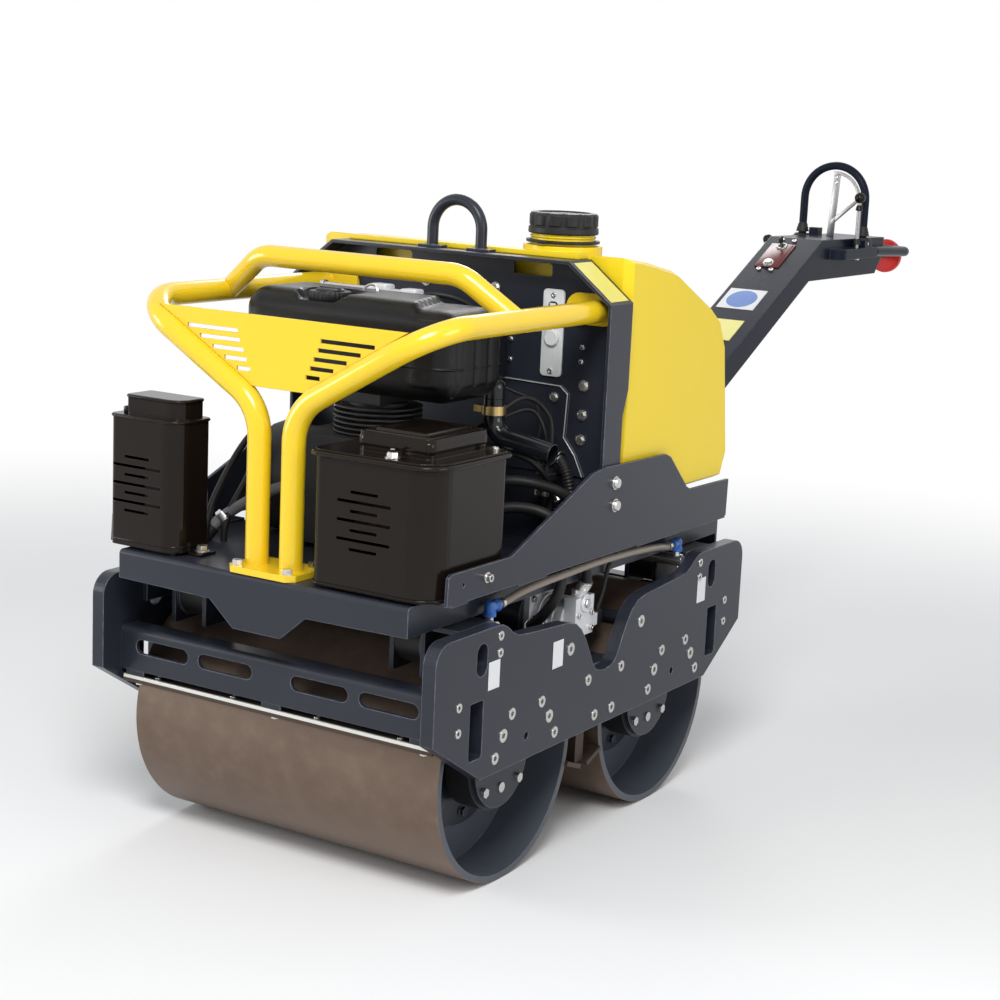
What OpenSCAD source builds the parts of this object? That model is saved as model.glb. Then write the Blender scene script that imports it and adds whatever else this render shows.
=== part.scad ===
// Walk behind vibratory roller with two drums, in millimetres.
// +X is right, -Y the front, +Z up; the origin is on the ground midway between the drums.

/* [Drums] */
// Width of a drum
drum_w = 650; // [600:10:700]
// Radius of a drum
drum_r = 210; // [205:1:220]
// Distance between the drum axes
wheelbase = 528; // [516:2:560]
// Thickness of a drum shell
shell_t = 12; // [8:1:14]
// How far a drum web lies in from the drum's end
web_in = 95; // [90:1:105]
// Thickness of a drum web
web_t = 12; // [8:1:16]

/* [Side plates] */
// Gap between a drum's end and a side plate
side_gap = 12; // [10:1:16]
// Thickness of a side plate
plate_t = 25; // [20:1:30]
// Half length of a side plate
plate_half_l = 548; // [540:1:570]
// Height of a side plate
plate_h = 255; // [250:1:262]

/* [Deck] */
// Half width of the deck
deck_half_w = 303.5; // [298:0.5:310]
// Half length of the deck
deck_half_l = 545; // [540:1:560]
// Height of the deck's top above the drum axes
deck_over_axle = 320; // [316:1:330]
// Thickness of the deck's sheet
deck_t = 6; // [5:0.5:8]

/* [Guard frame] */
// Diameter of the guard tube
guard_d = 40; // [36:1:44]
// Height of the guard's side tubes above the deck
guard_side_h = 432; // [424:1:440]
// Height of the guard's crossbar above its side tubes
guard_bar_h = 70; // [64:1:80]

/* [Support and tank] */
// Half width of the rear support
support_half_w = 348; // [346:0.5:352]
// Height of the rear support above the deck
support_h = 517; // [510:1:530]
// Half width of the water tank
tank_half_w = 340; // [330:1:344]
// Diameter of the filler cap
water_cap_d = 130; // [120:1:136]

/* [Tiller] */
// Width of the tiller arm
arm_w = 140; // [120:2:150]
// Depth of the tiller arm
arm_depth = 58; // [50:1:66]
// Angle of the tiller arm above the ground
arm_angle = 27.2; // [24:0.1:30]
// Length of the tiller arm from its pivot to the head
arm_len = 1055; // [1000:5:1120]
// Length of the head
head_l = 390; // [360:5:420]
// Height of the travel hoop above its pivot
hoop_h = 188; // [170:1:210]

/* [Hidden] */

// Shared clearances and overruns
over = 1;
fit_gap = 0.05;
seat_gap = 0.3;
tube_lap = 1;
tube_step = 0.06;
steep_share = 0.9;

// Colours
dark_paint = [0.18, 0.19, 0.22];
yellow_paint = [0.96, 0.82, 0.1];
black_plastic = [0.06, 0.06, 0.07];
bare_steel = [0.52, 0.46, 0.4];
zinc = [0.75, 0.75, 0.76];
silver = [0.8, 0.8, 0.8];
red_plastic = [0.85, 0.1, 0.08];

// Levels and places that the rest follows
axle_z = drum_r;
axle_y = wheelbase / 2;
drum_half_w = drum_w / 2;
plate_in = drum_half_w + side_gap;
plate_out = plate_in + plate_t;
plate_clear = 13;
plate_bot = axle_z + plate_clear;
plate_top = plate_bot + plate_h;
deck_z = axle_z + deck_over_axle;

// Side plate: places are half lengths along Y and heights above the axle
plate_chamfer_y = 143;
plate_chamfer_z = 89;
plate_corner_r = 38;
shoulder_out_y = 366;
shoulder_in_y = 265;
shoulder_drop = 33;
notch_half_w = 140;
notch_top_drop = 41;
notch_depth = 113;
// Shares of the notch's half width and depth, from its bottom to its top
notch_shares = [[0, 0], [0.13, 0.02], [0.24, 0.07], [0.32, 0.18], [0.42, 0.4], [0.54, 0.64],
    [0.66, 0.82], [0.8, 0.94], [1, 1]];
// Shares of the shoulder's run and rise
shoulder_shares = [[0, 0], [0.35, 0.1], [0.55, 0.36], [0.72, 0.74], [0.86, 0.94], [1, 1]];
slot_y = 413;
slot_w = 32;
slot_lo = 191;
slot_hi = 246;
window_y = 404;
window_w = 39.5;
window_lo = 52;
window_hi = 150;
window_r = 6;
plain_hole_z = 54;
plain_hole_r = 7;
arc_steps = 8;

// Bolts of a side plate: Y from the drum axis (inwards minus), and Z
carrier_bolt_places = [[75, 73], [-73, 72], [50, 105], [-46, 104], [98, 39], [-94, 38]];
// Bolts of the crossmember and tie tube
cross_bolt_places = [[31, 36], [60, 107]];
tie_place = [128, 178];
beam_bolt_zs = [153, 110];
beam_bolt_in = 70.5;
bracket_bolt_y = 359.5;
bracket_bolt_zs = [249, 220];
big_head_r = 13;
mid_head_r = 11.5;
small_head_r = 9;
washer_t = 3;
head_h_share = 0.85;
socket_share = 0.42;
shank_share = 0.5;
head_share = 0.88;
counterbore = 10;
head_proud = 1.5;

// Axle carriers, housings and hubs
carrier_r = 82;
carrier_t = 10;
carrier_gap = 21;
carrier_boss_r = 14;
carrier_top_z = 122;
carrier_wing_y = 118;
carrier_wing_z = 52;
carrier_root_z = 20;
low_bolt_y = 54;
low_bolt_z = 43;
low_mid_z = 47;
low_head_r = 9;
low_head_h = 6;
housing_r = 88;
housing_l = 48;
housing_wall = 6;
hub_hole_r = 62;
hub_flange_r = 130;
hub_flange_t = 10;
journal_r = 35;
journal_gap = 8;
bearing_r = 60;
bearing_l = 28;
hub_bolts = 8;
hub_bolt_pcr = 108;
hub_bolt_r = 9;
hub_bolt_h = 7;

// Beams between the side plates
beam_front = 46;
beam_depth = 46;
beam_lo = 93;
beam_hi = 170;
beam_t = 8;
beam_end_t = 12;
beam_roll_r = 10;
beam_slot_z = 138.6;
beam_slot_h = 26;
beam_slot_ins = [41.4, 182.7];
beam_slot_l = 119;
cross_bot_y = 46;
cross_top_y = 76;
cross_lo = 22;
cross_hi = 118;
cross_t = 8;
tie_r = 11;

// Scrapers
scraper_t = 12;
scraper_short = 7;
scraper_drop = 10;
scraper_gap = 1.5;
scraper_pad_w = 40;
scraper_pad_l = 26;
scraper_screw_in = 25;
scraper_screw_r = 7;
scraper_screw_h = 6;
inner_blade_t = 8;
inner_blade_l = 52;
inner_blade_tilt = 20;
inner_blade_z = 52;
hanger_w = 24;
hanger_y = 14;

// Exciter
exciter_z = 190;
exciter_r = 64;
exciter_bore_r = 54;
exciter_left = 300;
exciter_right = 215;
exciter_bearing_r = 38;
exciter_bearing_l = 25;
exciter_shaft_r = 17.5;
exciter_lip_t = 12;
weight_r = 49;
weight_half_l = 150;
exciter_foot_w = 40;
exciter_foot_y = 44;
motor_flange_t = 12;
motor_flange_half = 48;
flange_round = 12;
motor_r = 43;
motor_l = 62;
port_block_t = 25;
port_block_y = 32;
port_block_lo = 22;
port_block_hi = 50;
port_side_y = 16;
port_side_h = 22;
nipple_r = 11;

// Buffers
buffer_y = 400;
buffer_z = 227;
buffer_r = 39;
tab_out = 205;
tab_t = 8;
tab_half_y = 40;
tab_drop = 48;
// Corners cut off the tabs and brackets, Y and Z
tab_cut = [24, 14];
bracket_cut = [30, 19];
bracket_in = 75;
bracket_half_y = 45;
bracket_t = 8;
bracket_top = 268;
bracket_lo = 178;
bracket_foot_lo = 205;
washer_plate_t = 6;
washer_plate_r = 41;

// Sprinkler bars
sprinkler_y = 334;
sprinkler_z = 252;
sprinkler_r = 11;
drip_r = 2;
drip_step = 50;

// Deck and skirts
fascia_lo = 50;
fascia_mid = 53;
fascia_drop = 96;
drop_top_y = 101;
drop_bot_y = 50;
fascia_roll_r = 8;
skirt_stand = 50.5;
skirt_out = deck_half_w + skirt_stand;
skirt_t = 6;
lip_t = 5;
lip_on = 1.5;
lip_in = skirt_stand + lip_on;
// Skirt outline: heights above the deck, with Y from front to rear
skirt_pts = [[-512, 3], [-509, 50], [-499, 54.5], [-324, 54], [-64, 159], [-23, 164],
    [204, 160], [224, 152], [297, 86], [314, 79], [476, 77], [474, 4]];
lip_runs = [[-500, -452], [-300, -210], [110, 470]];
dome_places = [[12, 132], [15, 91]];
dome_r = 12;
dome_h = 6;
skirt_bolt_place = [-400, 33];
skirt_bolt_r = 9;
skirt_hole_place = [-466, 32];
skirt_hole_r = 4;

// Guard frame
guard_y = 502;
guard_leg_x = 36;
guard_corner_x = 306;
guard_knee_h = 276;
guard_knee_r = 90;
guard_bar_y = 290;
guard_bar_x = 211;
guard_join_y = 262;
guard_bar_r = 70;
guard_ring_r = 28;
guard_ring_out = 48;
guard_ring_t = 8;
guard_base_x = 70;
guard_base_front = 545;
guard_base_back = 450;
guard_base_t = 11;
guard_base_cut = 18;
guard_base_bolt_in = 13;
infill_t = 4;
infill_top_x = 266;
infill_bot_x = 62;
infill_top_h = 426;
infill_bot_h = 308;
infill_slot_h = 7;
infill_slot_step = 15.4;
infill_slot_top = 396;
// Ends of the infill's slots, from the top down
infill_slot_ins = [85, 80, 72, 65, 57];
infill_slot_outs = [193, 166, 139, 113, 86];

// Rear support
support_front = 24;
support_back = 54;
support_plate_y = 30;
support_t = 6;
support_cham_x = 89;
support_cham_z = 69;
support_step_z = 265;
support_step_y = 16;
win_in = 112;
win_out = 193;
win_lo = 482;
win_hi = 505;
win_r = 6;
bracket_plate_t = 5;
rail_x = 230;
rail_w = 26;
rail_y = [90, 450];
// Bracket plate on the support: right edge at X, heights above the deck
bracket_pts = [[100, 292], [226, 289], [242, 276], [238, 197], [262, 167], [280, 130], [100, 130]];
support_bolts = [[271, 294, 10], [271, 241, 10], [270, 196, 10], [76, 453, 10],
    [264, 362, 5], [263, 336, 5], [114, 363, 5], [114, 326, 5]];
bracket_plate_bolt = [214, 268, 9];
gauge_x = 180;
gauge_w = 44;
gauge_lo = 304;
gauge_hi = 461;
gauge_t = 5;
gauge_r = 8;

// Lifting eye
eye_r = 10.5;
eye_half_w = 53;
eye_y = 9.6;
eye_h = 100;
eye_pad_w = 50;
eye_pad_l = 22;
eye_pad_t = 5;

// Water tank: profile points as Y and height above the deck
tank_front = 58;
tank_low = 77.5;
tank_pts = [[58, tank_low], [58, 524], [141, 513], [241, 493], [386, 423], [429, 392], [458, 345],
    [491, 121], [467, 94], [472, tank_low]];
tank_lip_y = 22;
tank_lip_half_w = 250;
tank_lip_h = 9;
tank_wall = 5;
tank_round = 18;
// Shares of the steps at the tank's rear edge and top
tank_edge_share = 0.3;
tank_top_share = 0.9;
neck_x = 171;
neck_y = 100;
neck_r = 58;
neck_bore_r = 50;
neck_base_r = 72;
neck_base_h = 9;
neck_top = 555;
cap_h = 38;
cap_wall = 4;
cap_skirt = 26;
cap_ribs = 24;
cap_rib_r = 4;

// Engine
crank_y = -218;
crank_z = 100;
crank_r = 15;
block_left = 112;
block_right = 128;
block_half_y = 96;
block_lo = 10;
block_hi = 205;
chamber_r = 78;
chamber_half = 55;
barrel_r = 52;
barrel_top = 262;
fin_r = 78;
fin_t = 3;
fin_step = 9;
fins = 6;
block_foot_w = 30;
flywheel_r = 88;
flywheel_t = 26;
flywheel_in = 158;
web_r = 52;
web_l = 22;
cowl_r = 98;
cowl_t = 3;
cowl_left = 212;
cowl_hole_r = 60;
cowl_bars = 5;
cowl_bar_w = 5;
cowl_bar_step = 20;
muffler_x = 218;
muffler_y = -428;
muffler_half_w = 72;
muffler_r = 52;
muffler_z = 118;
stub_r = 12;
stub_y = -292;
stub_x = 175;
stub_z = 110;
stub_bend = 26;
fuel_half_w = 222;
fuel_front = 335;
fuel_back = 152;
fuel_lo = 285;
fuel_hi = 452;
fuel_r = 55;
fuel_strap_h = 20;
fuel_post_w = 40;
fuel_cap_x = -62;
fuel_cap_y = -285;
fuel_cap_d = 76;
fuel_cap_h = 22;
fuel_dish_r = 54;
fuel_dish = 16;
fuel_edge_r = 42;
fuel_neck_r = 28;
fuel_neck_h = 8;
filter_x0 = -30;
filter_x1 = 130;
filter_y0 = -140;
filter_y1 = -12;
filter_lo = 276;
filter_hi = 402;
filter_post = [20, 70];
filter_rounds = [8, 8, 24, 24];
pump_l = 74;
pump_half = 44;
pump_flange_t = 12;
pump_port_r = 13;
pump_port_h = 16;
pump_ports = [[160, 22], [196, -18]];
shaft_in_pump = 40;

// Right guard and its lid
rg_x0 = 101;
rg_x1 = 338;
rg_front = 535;
rg_back = 318;
rg_h = 220;
rg_wall = 3;
rg_round = 50;
rg_small_round = 16;
rg_rim = 4;
rg_rim_h = 7;
lid_x0 = 160;
lid_x1 = 304;
lid_in = 36;
lid_back_in = 10;
lid_h = 36;
lid_wall = 3;
lid_flange_t = 4;
lid_stud_x = 245;
lid_stud_y = -519;
lid_stud_h = 14;
slot_gap = 15.6;
slot_h = 5;
rg_slot_lo = 66;
rg_slots = 7;
rg_slot_mid = 204;
rg_long = 105;
rg_short = 54;
strip_w = 6;

// Left guard and battery
lg_x0 = 337;
lg_x1 = 186;
lg_front = 534;
lg_back = 446;
lg_h = 228;
lg_cap_h = 34;
lg_cap_in = 6;
lg_cap_left = 19;
lg_cap_ends = 7;
lg_wall = 3;
lg_round = 12;
lg_big_round = 34;
lg_slot_lo = 60;
lg_slots = 7;
lg_slot_mid = 276;
lg_long = 108;
lg_short = 55;
foot_l = 26;
foot_y0 = 500;
foot_y1 = 460;
battery_in = 12;
battery_h = 150;

// Breather pipe and clamp
pipe_r = 19;
pipe_wall = 2.5;
pipe_bend_r = 40;
pipe_pts = [[178, -120, filter_lo - seat_gap], [178, -120, 212], [302, -120, 192]];
clamp_t = 2.5;
clamp_w = 16;
clamp_drop = 12;
clamp_screw_r = 6;

// Hoses: route points in the machine's own frame
hose_r = 10;
hose_sides = 8;
hose_steps = 4;
hose_lead = 4;
// Middle points; the ends lie on the ports
pressure_mid = [[302.5, 0, 457], [309, 0, 468], [315, -1, 481], [315, -6, 512], [315, -14, 546],
    [314, -26, 592], [300, -46, 632], [262, -78, 656], [212, -104, 662], [160, -124, 652]];
return_mid = [[252, -84, 400], [274, -100, 416], [299, -104, 444], [313, -98, 472], [315, -88, 505],
    [315, -80, 545], [308, -82, 585], [276, -98, 612], [232, -114, 618], [196, -134, 612]];
water_mid = [[322, -284, 496], [325, -262, 502], [329, -228, 508], [332, -180, 512],
    [333, -110, 514], [333, 0, 516], [333, 110, 514], [331, 190, 509], [327, 244, 503], [322, 284, 496]];
water_hose_r = 7;
elbow_x = 322;
elbow_stub_r = 7;
elbow_stub_h = 18;
elbow_r = 11;
elbow_h = 26;
elbow_reach = 22;

// Tiller
pivot_out = 45;
pivot_z = 299;
pin_r = 12;
pin_head_r = 17;
pin_head_t = 7;
ear_t = 12;
ear_gap = 1;
ear_r = 32;
bracket_back_t = 10;
bracket_back_h = 92;
arm_wall = 4;
arm_solid = 36;
head_h = 96;
head_drop = 5;
head_low_in = 70;
head_end_in = 47;
head_end_slant = 12;
head_end_low = 37;
shelf_half_w = 100;
shelf_t = 8;
shelf_wall = 5;
shelf_lip = 25;
shelf_drop = 24;
shelf_y = [45, 285];
shelf_rounds = [10, 10, 34, 34];
bar_r = 12.5;
bar_half_w = 87;
bar_reach = 153;
bar_start_drop = 36;
bar_end_drop = 47;
bar_bend_r = 58;
bar_foot_gap = 0.8;
hoop_half_w = 82;
hoop_r = 10;
hoop_y = 215;
hoop_pivot_drop = 14;
hoop_foot_r = 9;
hoop_pin_r = 5;
hoop_pin_in = 10;
boot_out = 100;
boot_wall = 4.5;
boot_half_y = 22;
boot_slot_y = 13.5;
blade_t = 5;
blade_w = 17;
blade_foot_x = -6;
blade_top_x = 3;
blade_foot_drop = 5;
blade_slot = [24, 17];
brace_w = 11;
brace_foot_h = 43;
brace_end_x = 61;
strip_in = 60;
strip_angle = 94;
vib_x = 86;
vib_y = 170;
vib_r = 5.5;
vib_h = 145;
vib_ball_r = 14;
vib_drop = 45;
vib_hub_r = 9;
vib_hub_x0 = 78;
vib_hub_x1 = 94;
vib_pin_r = 4;
vib_slot = [34, 13];
throttle_y = -14;
throttle_drop = 42;
throttle_l = 48;
throttle_r = 4;
throttle_hub_r = 10;
throttle_hub_l = 9;
throttle_out = 17;
throttle_angle = 42;
throttle_pin_r = 4;
knob_r = 13;
pad_r = 44;
pad_t = 24;
pad_edge = 6;
pad_y = 180;
pad_rod_r = 6;
pad_drop = 66;
pad_rod_in = 60;
sleeve_r = 15;
sleeve_out = 24;
sleeve_in = 66;
panel_x = -17;
panel_w = 64;
panel_back = 36;
panel_l = 110;
panel_t = 3;
ring_r = 13;
ring_h = 3;
key_back = 50;
button_back = 131;
key_r = 9;
key_in = 8;
key_out = 2;
key_grip = [3, 12, 12];
button_out = 5;
panel_screws = [[-31, 17], [1, 17], [-31, 157], [1, 157]];
panel_screw_r = 6;
panel_screw_h = 4;
switch_x = -46;
switch_box = [26, 24, 22];

// Small helpers
module xcyl(r, x0, x1, y = 0, z = 0, fn = 64)
  translate([min(x0, x1), y, z]) rotate([0, 90, 0]) cylinder(r = r, h = abs(x1 - x0), $fn = fn);
module ycyl(r, y0, y1, x = 0, z = 0, fn = 48)
  translate([x, max(y0, y1), z]) rotate([90, 0, 0]) cylinder(r = r, h = abs(y1 - y0), $fn = fn);
module zcyl(r, z0, z1, x = 0, y = 0, fn = 48)
  translate([x, y, z0]) cylinder(r = r, h = z1 - z0, $fn = fn);
module block(x0, x1, y0, y1, z0, z1)
  translate([min(x0, x1), min(y0, y1), z0]) cube([abs(x1 - x0), abs(y1 - y0), z1 - z0]);
// Children as they are and mirrored
module both_x() { children(); mirror([1, 0, 0]) children(); }
module both_y() { children(); mirror([0, 1, 0]) children(); }
module both_x_2d() { children(); mirror([1, 0]) children(); }
// Extrudes an outline of (Y, Z) points along X
module slab_x(x0, x1)
  translate([min(x0, x1), 0, 0]) rotate([90, 0, 90]) linear_extrude(height = abs(x1 - x0)) children();
// Extrudes an outline of (X, Z) points along Y
module slab_y(y0, y1)
  translate([0, max(y0, y1), 0]) rotate([90, 0, 0]) linear_extrude(height = abs(y1 - y0)) children();
function arc_pts(cx, cy, r, a0, a1, n) =
  [for (i = [0:n]) [cx + r * cos(a0 + (a1 - a0) * i / n), cy + r * sin(a0 + (a1 - a0) * i / n)]];
// Rounded rectangle, its radii anticlockwise from low X, low Y
module round_rect(x0, x1, y0, y1, radii) {
  r = is_list(radii) ? radii : [radii, radii, radii, radii];
  polygon(concat(arc_pts(x0 + r[0], y0 + r[0], r[0], 180, 270, arc_steps),
      arc_pts(x1 - r[1], y0 + r[1], r[1], 270, 360, arc_steps),
      arc_pts(x1 - r[2], y1 - r[2], r[2], 0, 90, arc_steps),
      arc_pts(x0 + r[3], y1 - r[3], r[3], 90, 180, arc_steps)));
}
// Obround slot along the first axis
module obround(cx, cy, l, w)
  union() {
    translate([cx - l / 2 + w / 2, cy - w / 2]) square([l - w, w]);
    for (s = [-1, 1]) translate([cx + s * (l - w) / 2, cy]) circle(d = w, $fn = 32);
  }

// Vector helpers for bent tubes
function unit(v) = v / norm(v);
function turn(p, i) = acos(unit(p[i] - p[i - 1]) * unit(p[i + 1] - p[i]));
function cut(p, i, r) = i == 0 || i == len(p) - 1 ? 0 : r * tan(turn(p, i) / 2);
// Rigid frame with given X and Z directions
module frame_at(o, x, z) {
  y = cross(z, x);
  multmatrix([[x[0], y[0], z[0], o[0]], [x[1], y[1], z[1], o[1]], [x[2], y[2], z[2], o[2]], [0, 0, 0, 1]])
    children();
}
module rod(a, b, r, fn = 32) {
  d = unit(b - a);
  side = abs(d[2]) > steep_share ? unit(cross([0, 1, 0], d)) : unit(cross([0, 0, 1], d));
  frame_at(a, side, d) cylinder(r = r, h = norm(b - a), $fn = fn);
}
// Tube through points: each bend is a hair thicker than the straight runs, which lap into it
module bent_tube(p, r, bend, fn = 32) {
  last = len(p) - 1;
  for (i = [0:last - 1]) {
    d = unit(p[i + 1] - p[i]);
    rod(p[i] + d * (cut(p, i, bend) - (i > 0 ? tube_lap : 0)),
        p[i + 1] - d * (cut(p, i + 1, bend) - (i + 1 < last ? tube_lap : 0)), r, fn);
  }
  for (i = [1:last - 1]) {
    d0 = unit(p[i] - p[i - 1]);
    n = unit(cross(d0, p[i + 1] - p[i]));
    start = p[i] - d0 * cut(p, i, bend);
    inward = unit(cross(n, d0));
    frame_at(start + inward * bend, -inward, n)
      rotate_extrude(angle = turn(p, i), $fn = 48) translate([bend, 0]) circle(r = r + tube_step, $fn = fn);
  }
}
// Swept tube of flat facets
function ring_dir(p, i) = unit(p[min(i + 1, len(p) - 1)] - p[max(i - 1, 0)]);
ring_ref_share = [0.31, 0.17, 0.93];
function ring_side(p, i) = unit(cross(ring_dir(p, i), ring_ref_share));
module swept(p, r, n) {
  pts = [for (i = [0:len(p) - 1], k = [0:n - 1]) p[i] + r * (cos(360 * k / n) * ring_side(p, i)
      + sin(360 * k / n) * cross(ring_dir(p, i), ring_side(p, i)))];
  walls = [for (i = [0:len(p) - 2], k = [0:n - 1])
      [i * n + k, i * n + (k + 1) % n, (i + 1) * n + (k + 1) % n, (i + 1) * n + k]];
  start_cap = [for (k = [0:n - 1]) k];
  end_cap = [for (k = [n - 1:-1:0]) (len(p) - 1) * n + k];
  polyhedron(points = pts, faces = concat([for (w = walls) [w[0], w[2], w[1]]],
      [for (w = walls) [w[0], w[3], w[2]]], [start_cap], [end_cap]), convexity = 4);
}
// Catmull curve
function curve_at(a, b, c, d, t) =
  0.5 * ((2 * b) + (c - a) * t + (2 * a - 5 * b + 4 * c - d) * t * t + (3 * b - a - 3 * c + d) * t * t * t);
function curve(p, steps) =
  [for (i = [0:len(p) - 2], k = [0:steps - (i == len(p) - 2 ? 0 : 1)])
     curve_at(p[max(i - 1, 0)], p[i], p[i + 1], p[min(i + 2, len(p) - 1)], k / steps)];

// Socket-head bolt along X, from a face at x inwards
module side_bolt(x, y, z, head_r, shank_l) {
  difference() {
    union() {
      xcyl(head_r, x, x + washer_t, y, z, 40);
      xcyl(head_r * head_h_share * head_h_share, x, x + washer_t + head_r * head_h_share, y, z, 40);
      xcyl(head_r * shank_share, x - shank_l, x + washer_t, y, z, 32);
    }
    xcyl(head_r * socket_share, x + washer_t, x + washer_t + head_r, y, z, 6);
  }
}

// Socket-head bolt sunk in a side plate
module plate_bolt(b) difference() {
  union() {
    xcyl(b[2] * head_share, plate_out - counterbore, plate_out + head_proud, b[0], b[1], 40);
    xcyl(b[2] * shank_share, plate_in + over, plate_out - counterbore + over, b[0], b[1], 32);
  }
  xcyl(b[2] * socket_share, plate_out - counterbore / 2, plate_out + head_proud + over, b[0], b[1], 6);
}

// Side plates
function plate_curve(y0, y1, z0, z1, shares) =
  [for (s = shares) [y0 + (y1 - y0) * s[0], z0 + (z1 - z0) * s[1]]];
notch_top_z = plate_top - notch_top_drop;
shoulder_z = plate_top - shoulder_drop;
plate_half_pts = concat(plate_curve(0, notch_half_w, notch_top_z - notch_depth, notch_top_z, notch_shares),
  plate_curve(shoulder_in_y, shoulder_out_y, shoulder_z, plate_top, shoulder_shares),
  arc_pts(plate_half_l - plate_corner_r, plate_top - plate_corner_r, plate_corner_r, 90, 0, arc_steps),
  [[plate_half_l, plate_bot + plate_chamfer_z], [plate_half_l - plate_chamfer_y, plate_bot]]);
module plate_outline() {
  polygon(concat(plate_half_pts, [for (i = [len(plate_half_pts) - 1:-1:1])
      [-plate_half_pts[i][0], plate_half_pts[i][1]]]));
}
// Holes of a side plate's rear half
bolt_table = concat([for (i = [0:len(carrier_bolt_places) - 1])
    [axle_y + carrier_bolt_places[i][0], axle_z + carrier_bolt_places[i][1],
    i < 2 ? big_head_r : mid_head_r]], [for (p = cross_bolt_places) [p[0], axle_z + p[1], mid_head_r]],
  [[tie_place[0], axle_z + tie_place[1], big_head_r]],
  [for (z = beam_bolt_zs) [plate_half_l - beam_bolt_in, axle_z + z, small_head_r]],
  [for (z = bracket_bolt_zs) [bracket_bolt_y, axle_z + z, small_head_r]]);
module side_plate() color(dark_paint) {
  difference() {
    slab_x(plate_in, plate_out) difference() {
      plate_outline();
      for (s = [-1, 1]) {
        translate([s * slot_y, axle_z + (slot_lo + slot_hi) / 2]) rotate(90)
          obround(0, 0, slot_hi - slot_lo, slot_w);
        mirror([s < 0 ? 1 : 0, 0])
          round_rect(window_y, window_y + window_w, axle_z + window_lo, axle_z + window_hi,
              [window_r, window_r, window_r / 2, window_r / 2]);
      }
    }
    both_y() {
      xcyl(plain_hole_r, plate_in - over, plate_out + over, axle_y, axle_z + plain_hole_z, 32);
      for (b = bolt_table)
        xcyl(b[2] * shank_share + seat_gap, plate_in - over, plate_out + over, b[0], b[1], 32);
      for (b = bolt_table)
        xcyl(b[2] * head_share + seat_gap, plate_out - counterbore, plate_out + over, b[0], b[1], 40);
    }
  }
}
module side_plate_right() side_plate();
module side_plate_left() mirror([1, 0, 0]) side_plate();

// Beams across the ends
module end_beam() color(dark_paint) {
  yf = plate_half_l - beam_front;
  yb = yf - beam_depth;
  z0 = axle_z + beam_lo;
  z1 = axle_z + beam_hi;
  difference() {
    union() {
      slab_x(-plate_in, plate_in) difference() {
        round_rect(-yf, -yb, z0, z1, [over, over, beam_t / 2, beam_roll_r]);
        round_rect(-yf + beam_t, -yb + over, z0 + beam_t, z1 - beam_t,
            [over, over, over, beam_roll_r - beam_t]);
      }
      both_x() block(plate_in - beam_end_t, plate_in, -yf + beam_t / 2, -yb, z0 + beam_t / 2,
          z1 - beam_t / 2);
      for (x = [-1, 0, 1])
        block(x * scraper_screw_x - scraper_pad_w / 2, x * scraper_screw_x + scraper_pad_w / 2,
            -yf + over, -yf + over + scraper_pad_l, z0 - scraper_drop, z0 + over);
    }
    slab_y(-yf - over, -yf + beam_t + over) both_x_2d() for (x = beam_slot_ins)
      obround(x + beam_slot_l / 2, axle_z + beam_slot_z, beam_slot_l, beam_slot_h);
    for (z = beam_bolt_zs) both_x()
      xcyl(small_head_r * shank_share + seat_gap, plate_in - beam_end_t - over, plate_in + over,
          -plate_half_l + beam_bolt_in, axle_z + z, 32);
    for (x = [-1, 0, 1])
      zcyl(scraper_screw_r * shank_share + seat_gap, z0 - scraper_drop - over, z0 + beam_t / 2,
          x * scraper_screw_x, -yf + scraper_screw_back, 24);
  }
}
scraper_half_w = plate_in - scraper_short;
scraper_screw_x = scraper_half_w - scraper_screw_in;
scraper_screw_back = scraper_pad_l / 2 + over;
module front_beam() end_beam();
module rear_beam() mirror([0, 1, 0]) end_beam();

module centre_crossmember() color(dark_paint) {
  z0 = axle_z + cross_lo;
  z1 = axle_z + cross_hi;
  difference() {
    slab_x(-plate_in, plate_in) difference() {
      polygon([[-cross_bot_y, z0], [cross_bot_y, z0], [cross_top_y, z1], [-cross_top_y, z1]]);
      polygon([[-cross_bot_y + cross_t, z0 + cross_t], [cross_bot_y - cross_t, z0 + cross_t],
          [cross_top_y - cross_t - cross_t / 2, z1 - cross_t],
          [-cross_top_y + cross_t + cross_t / 2, z1 - cross_t]]);
    }
  }
  both_y() difference() {
    xcyl(tie_r, -plate_in, plate_in, tie_place[0], axle_z + tie_place[1], 32);
    both_x() xcyl(big_head_r * shank_share + seat_gap, plate_in - plate_t - over, plate_in + over,
        tie_place[0], axle_z + tie_place[1], 24);
  }
}

// Scrapers
scraper_z1 = axle_z + beam_lo - scraper_drop;
scraper_z0 = scraper_z1 - scraper_t;
scraper_back = axle_y + sqrt(drum_r * drum_r - pow(scraper_z0 - axle_z, 2)) + scraper_gap;
scraper_front = plate_half_l - beam_front + over;
module outer_scrapers() color(bare_steel) both_y() difference() {
  slab_x(-scraper_half_w, scraper_half_w)
    polygon([[-scraper_front, scraper_z0 + over], [-scraper_front, scraper_z1],
        [-scraper_back, scraper_z1], [-scraper_back, scraper_z0], [-scraper_front + over, scraper_z0]]);
  for (x = [-1, 0, 1])
    zcyl(scraper_screw_r * shank_share + seat_gap, scraper_z0 - over, scraper_z1 + over,
        x * scraper_screw_x, -plate_half_l + beam_front + scraper_screw_back, 24);
}
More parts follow.
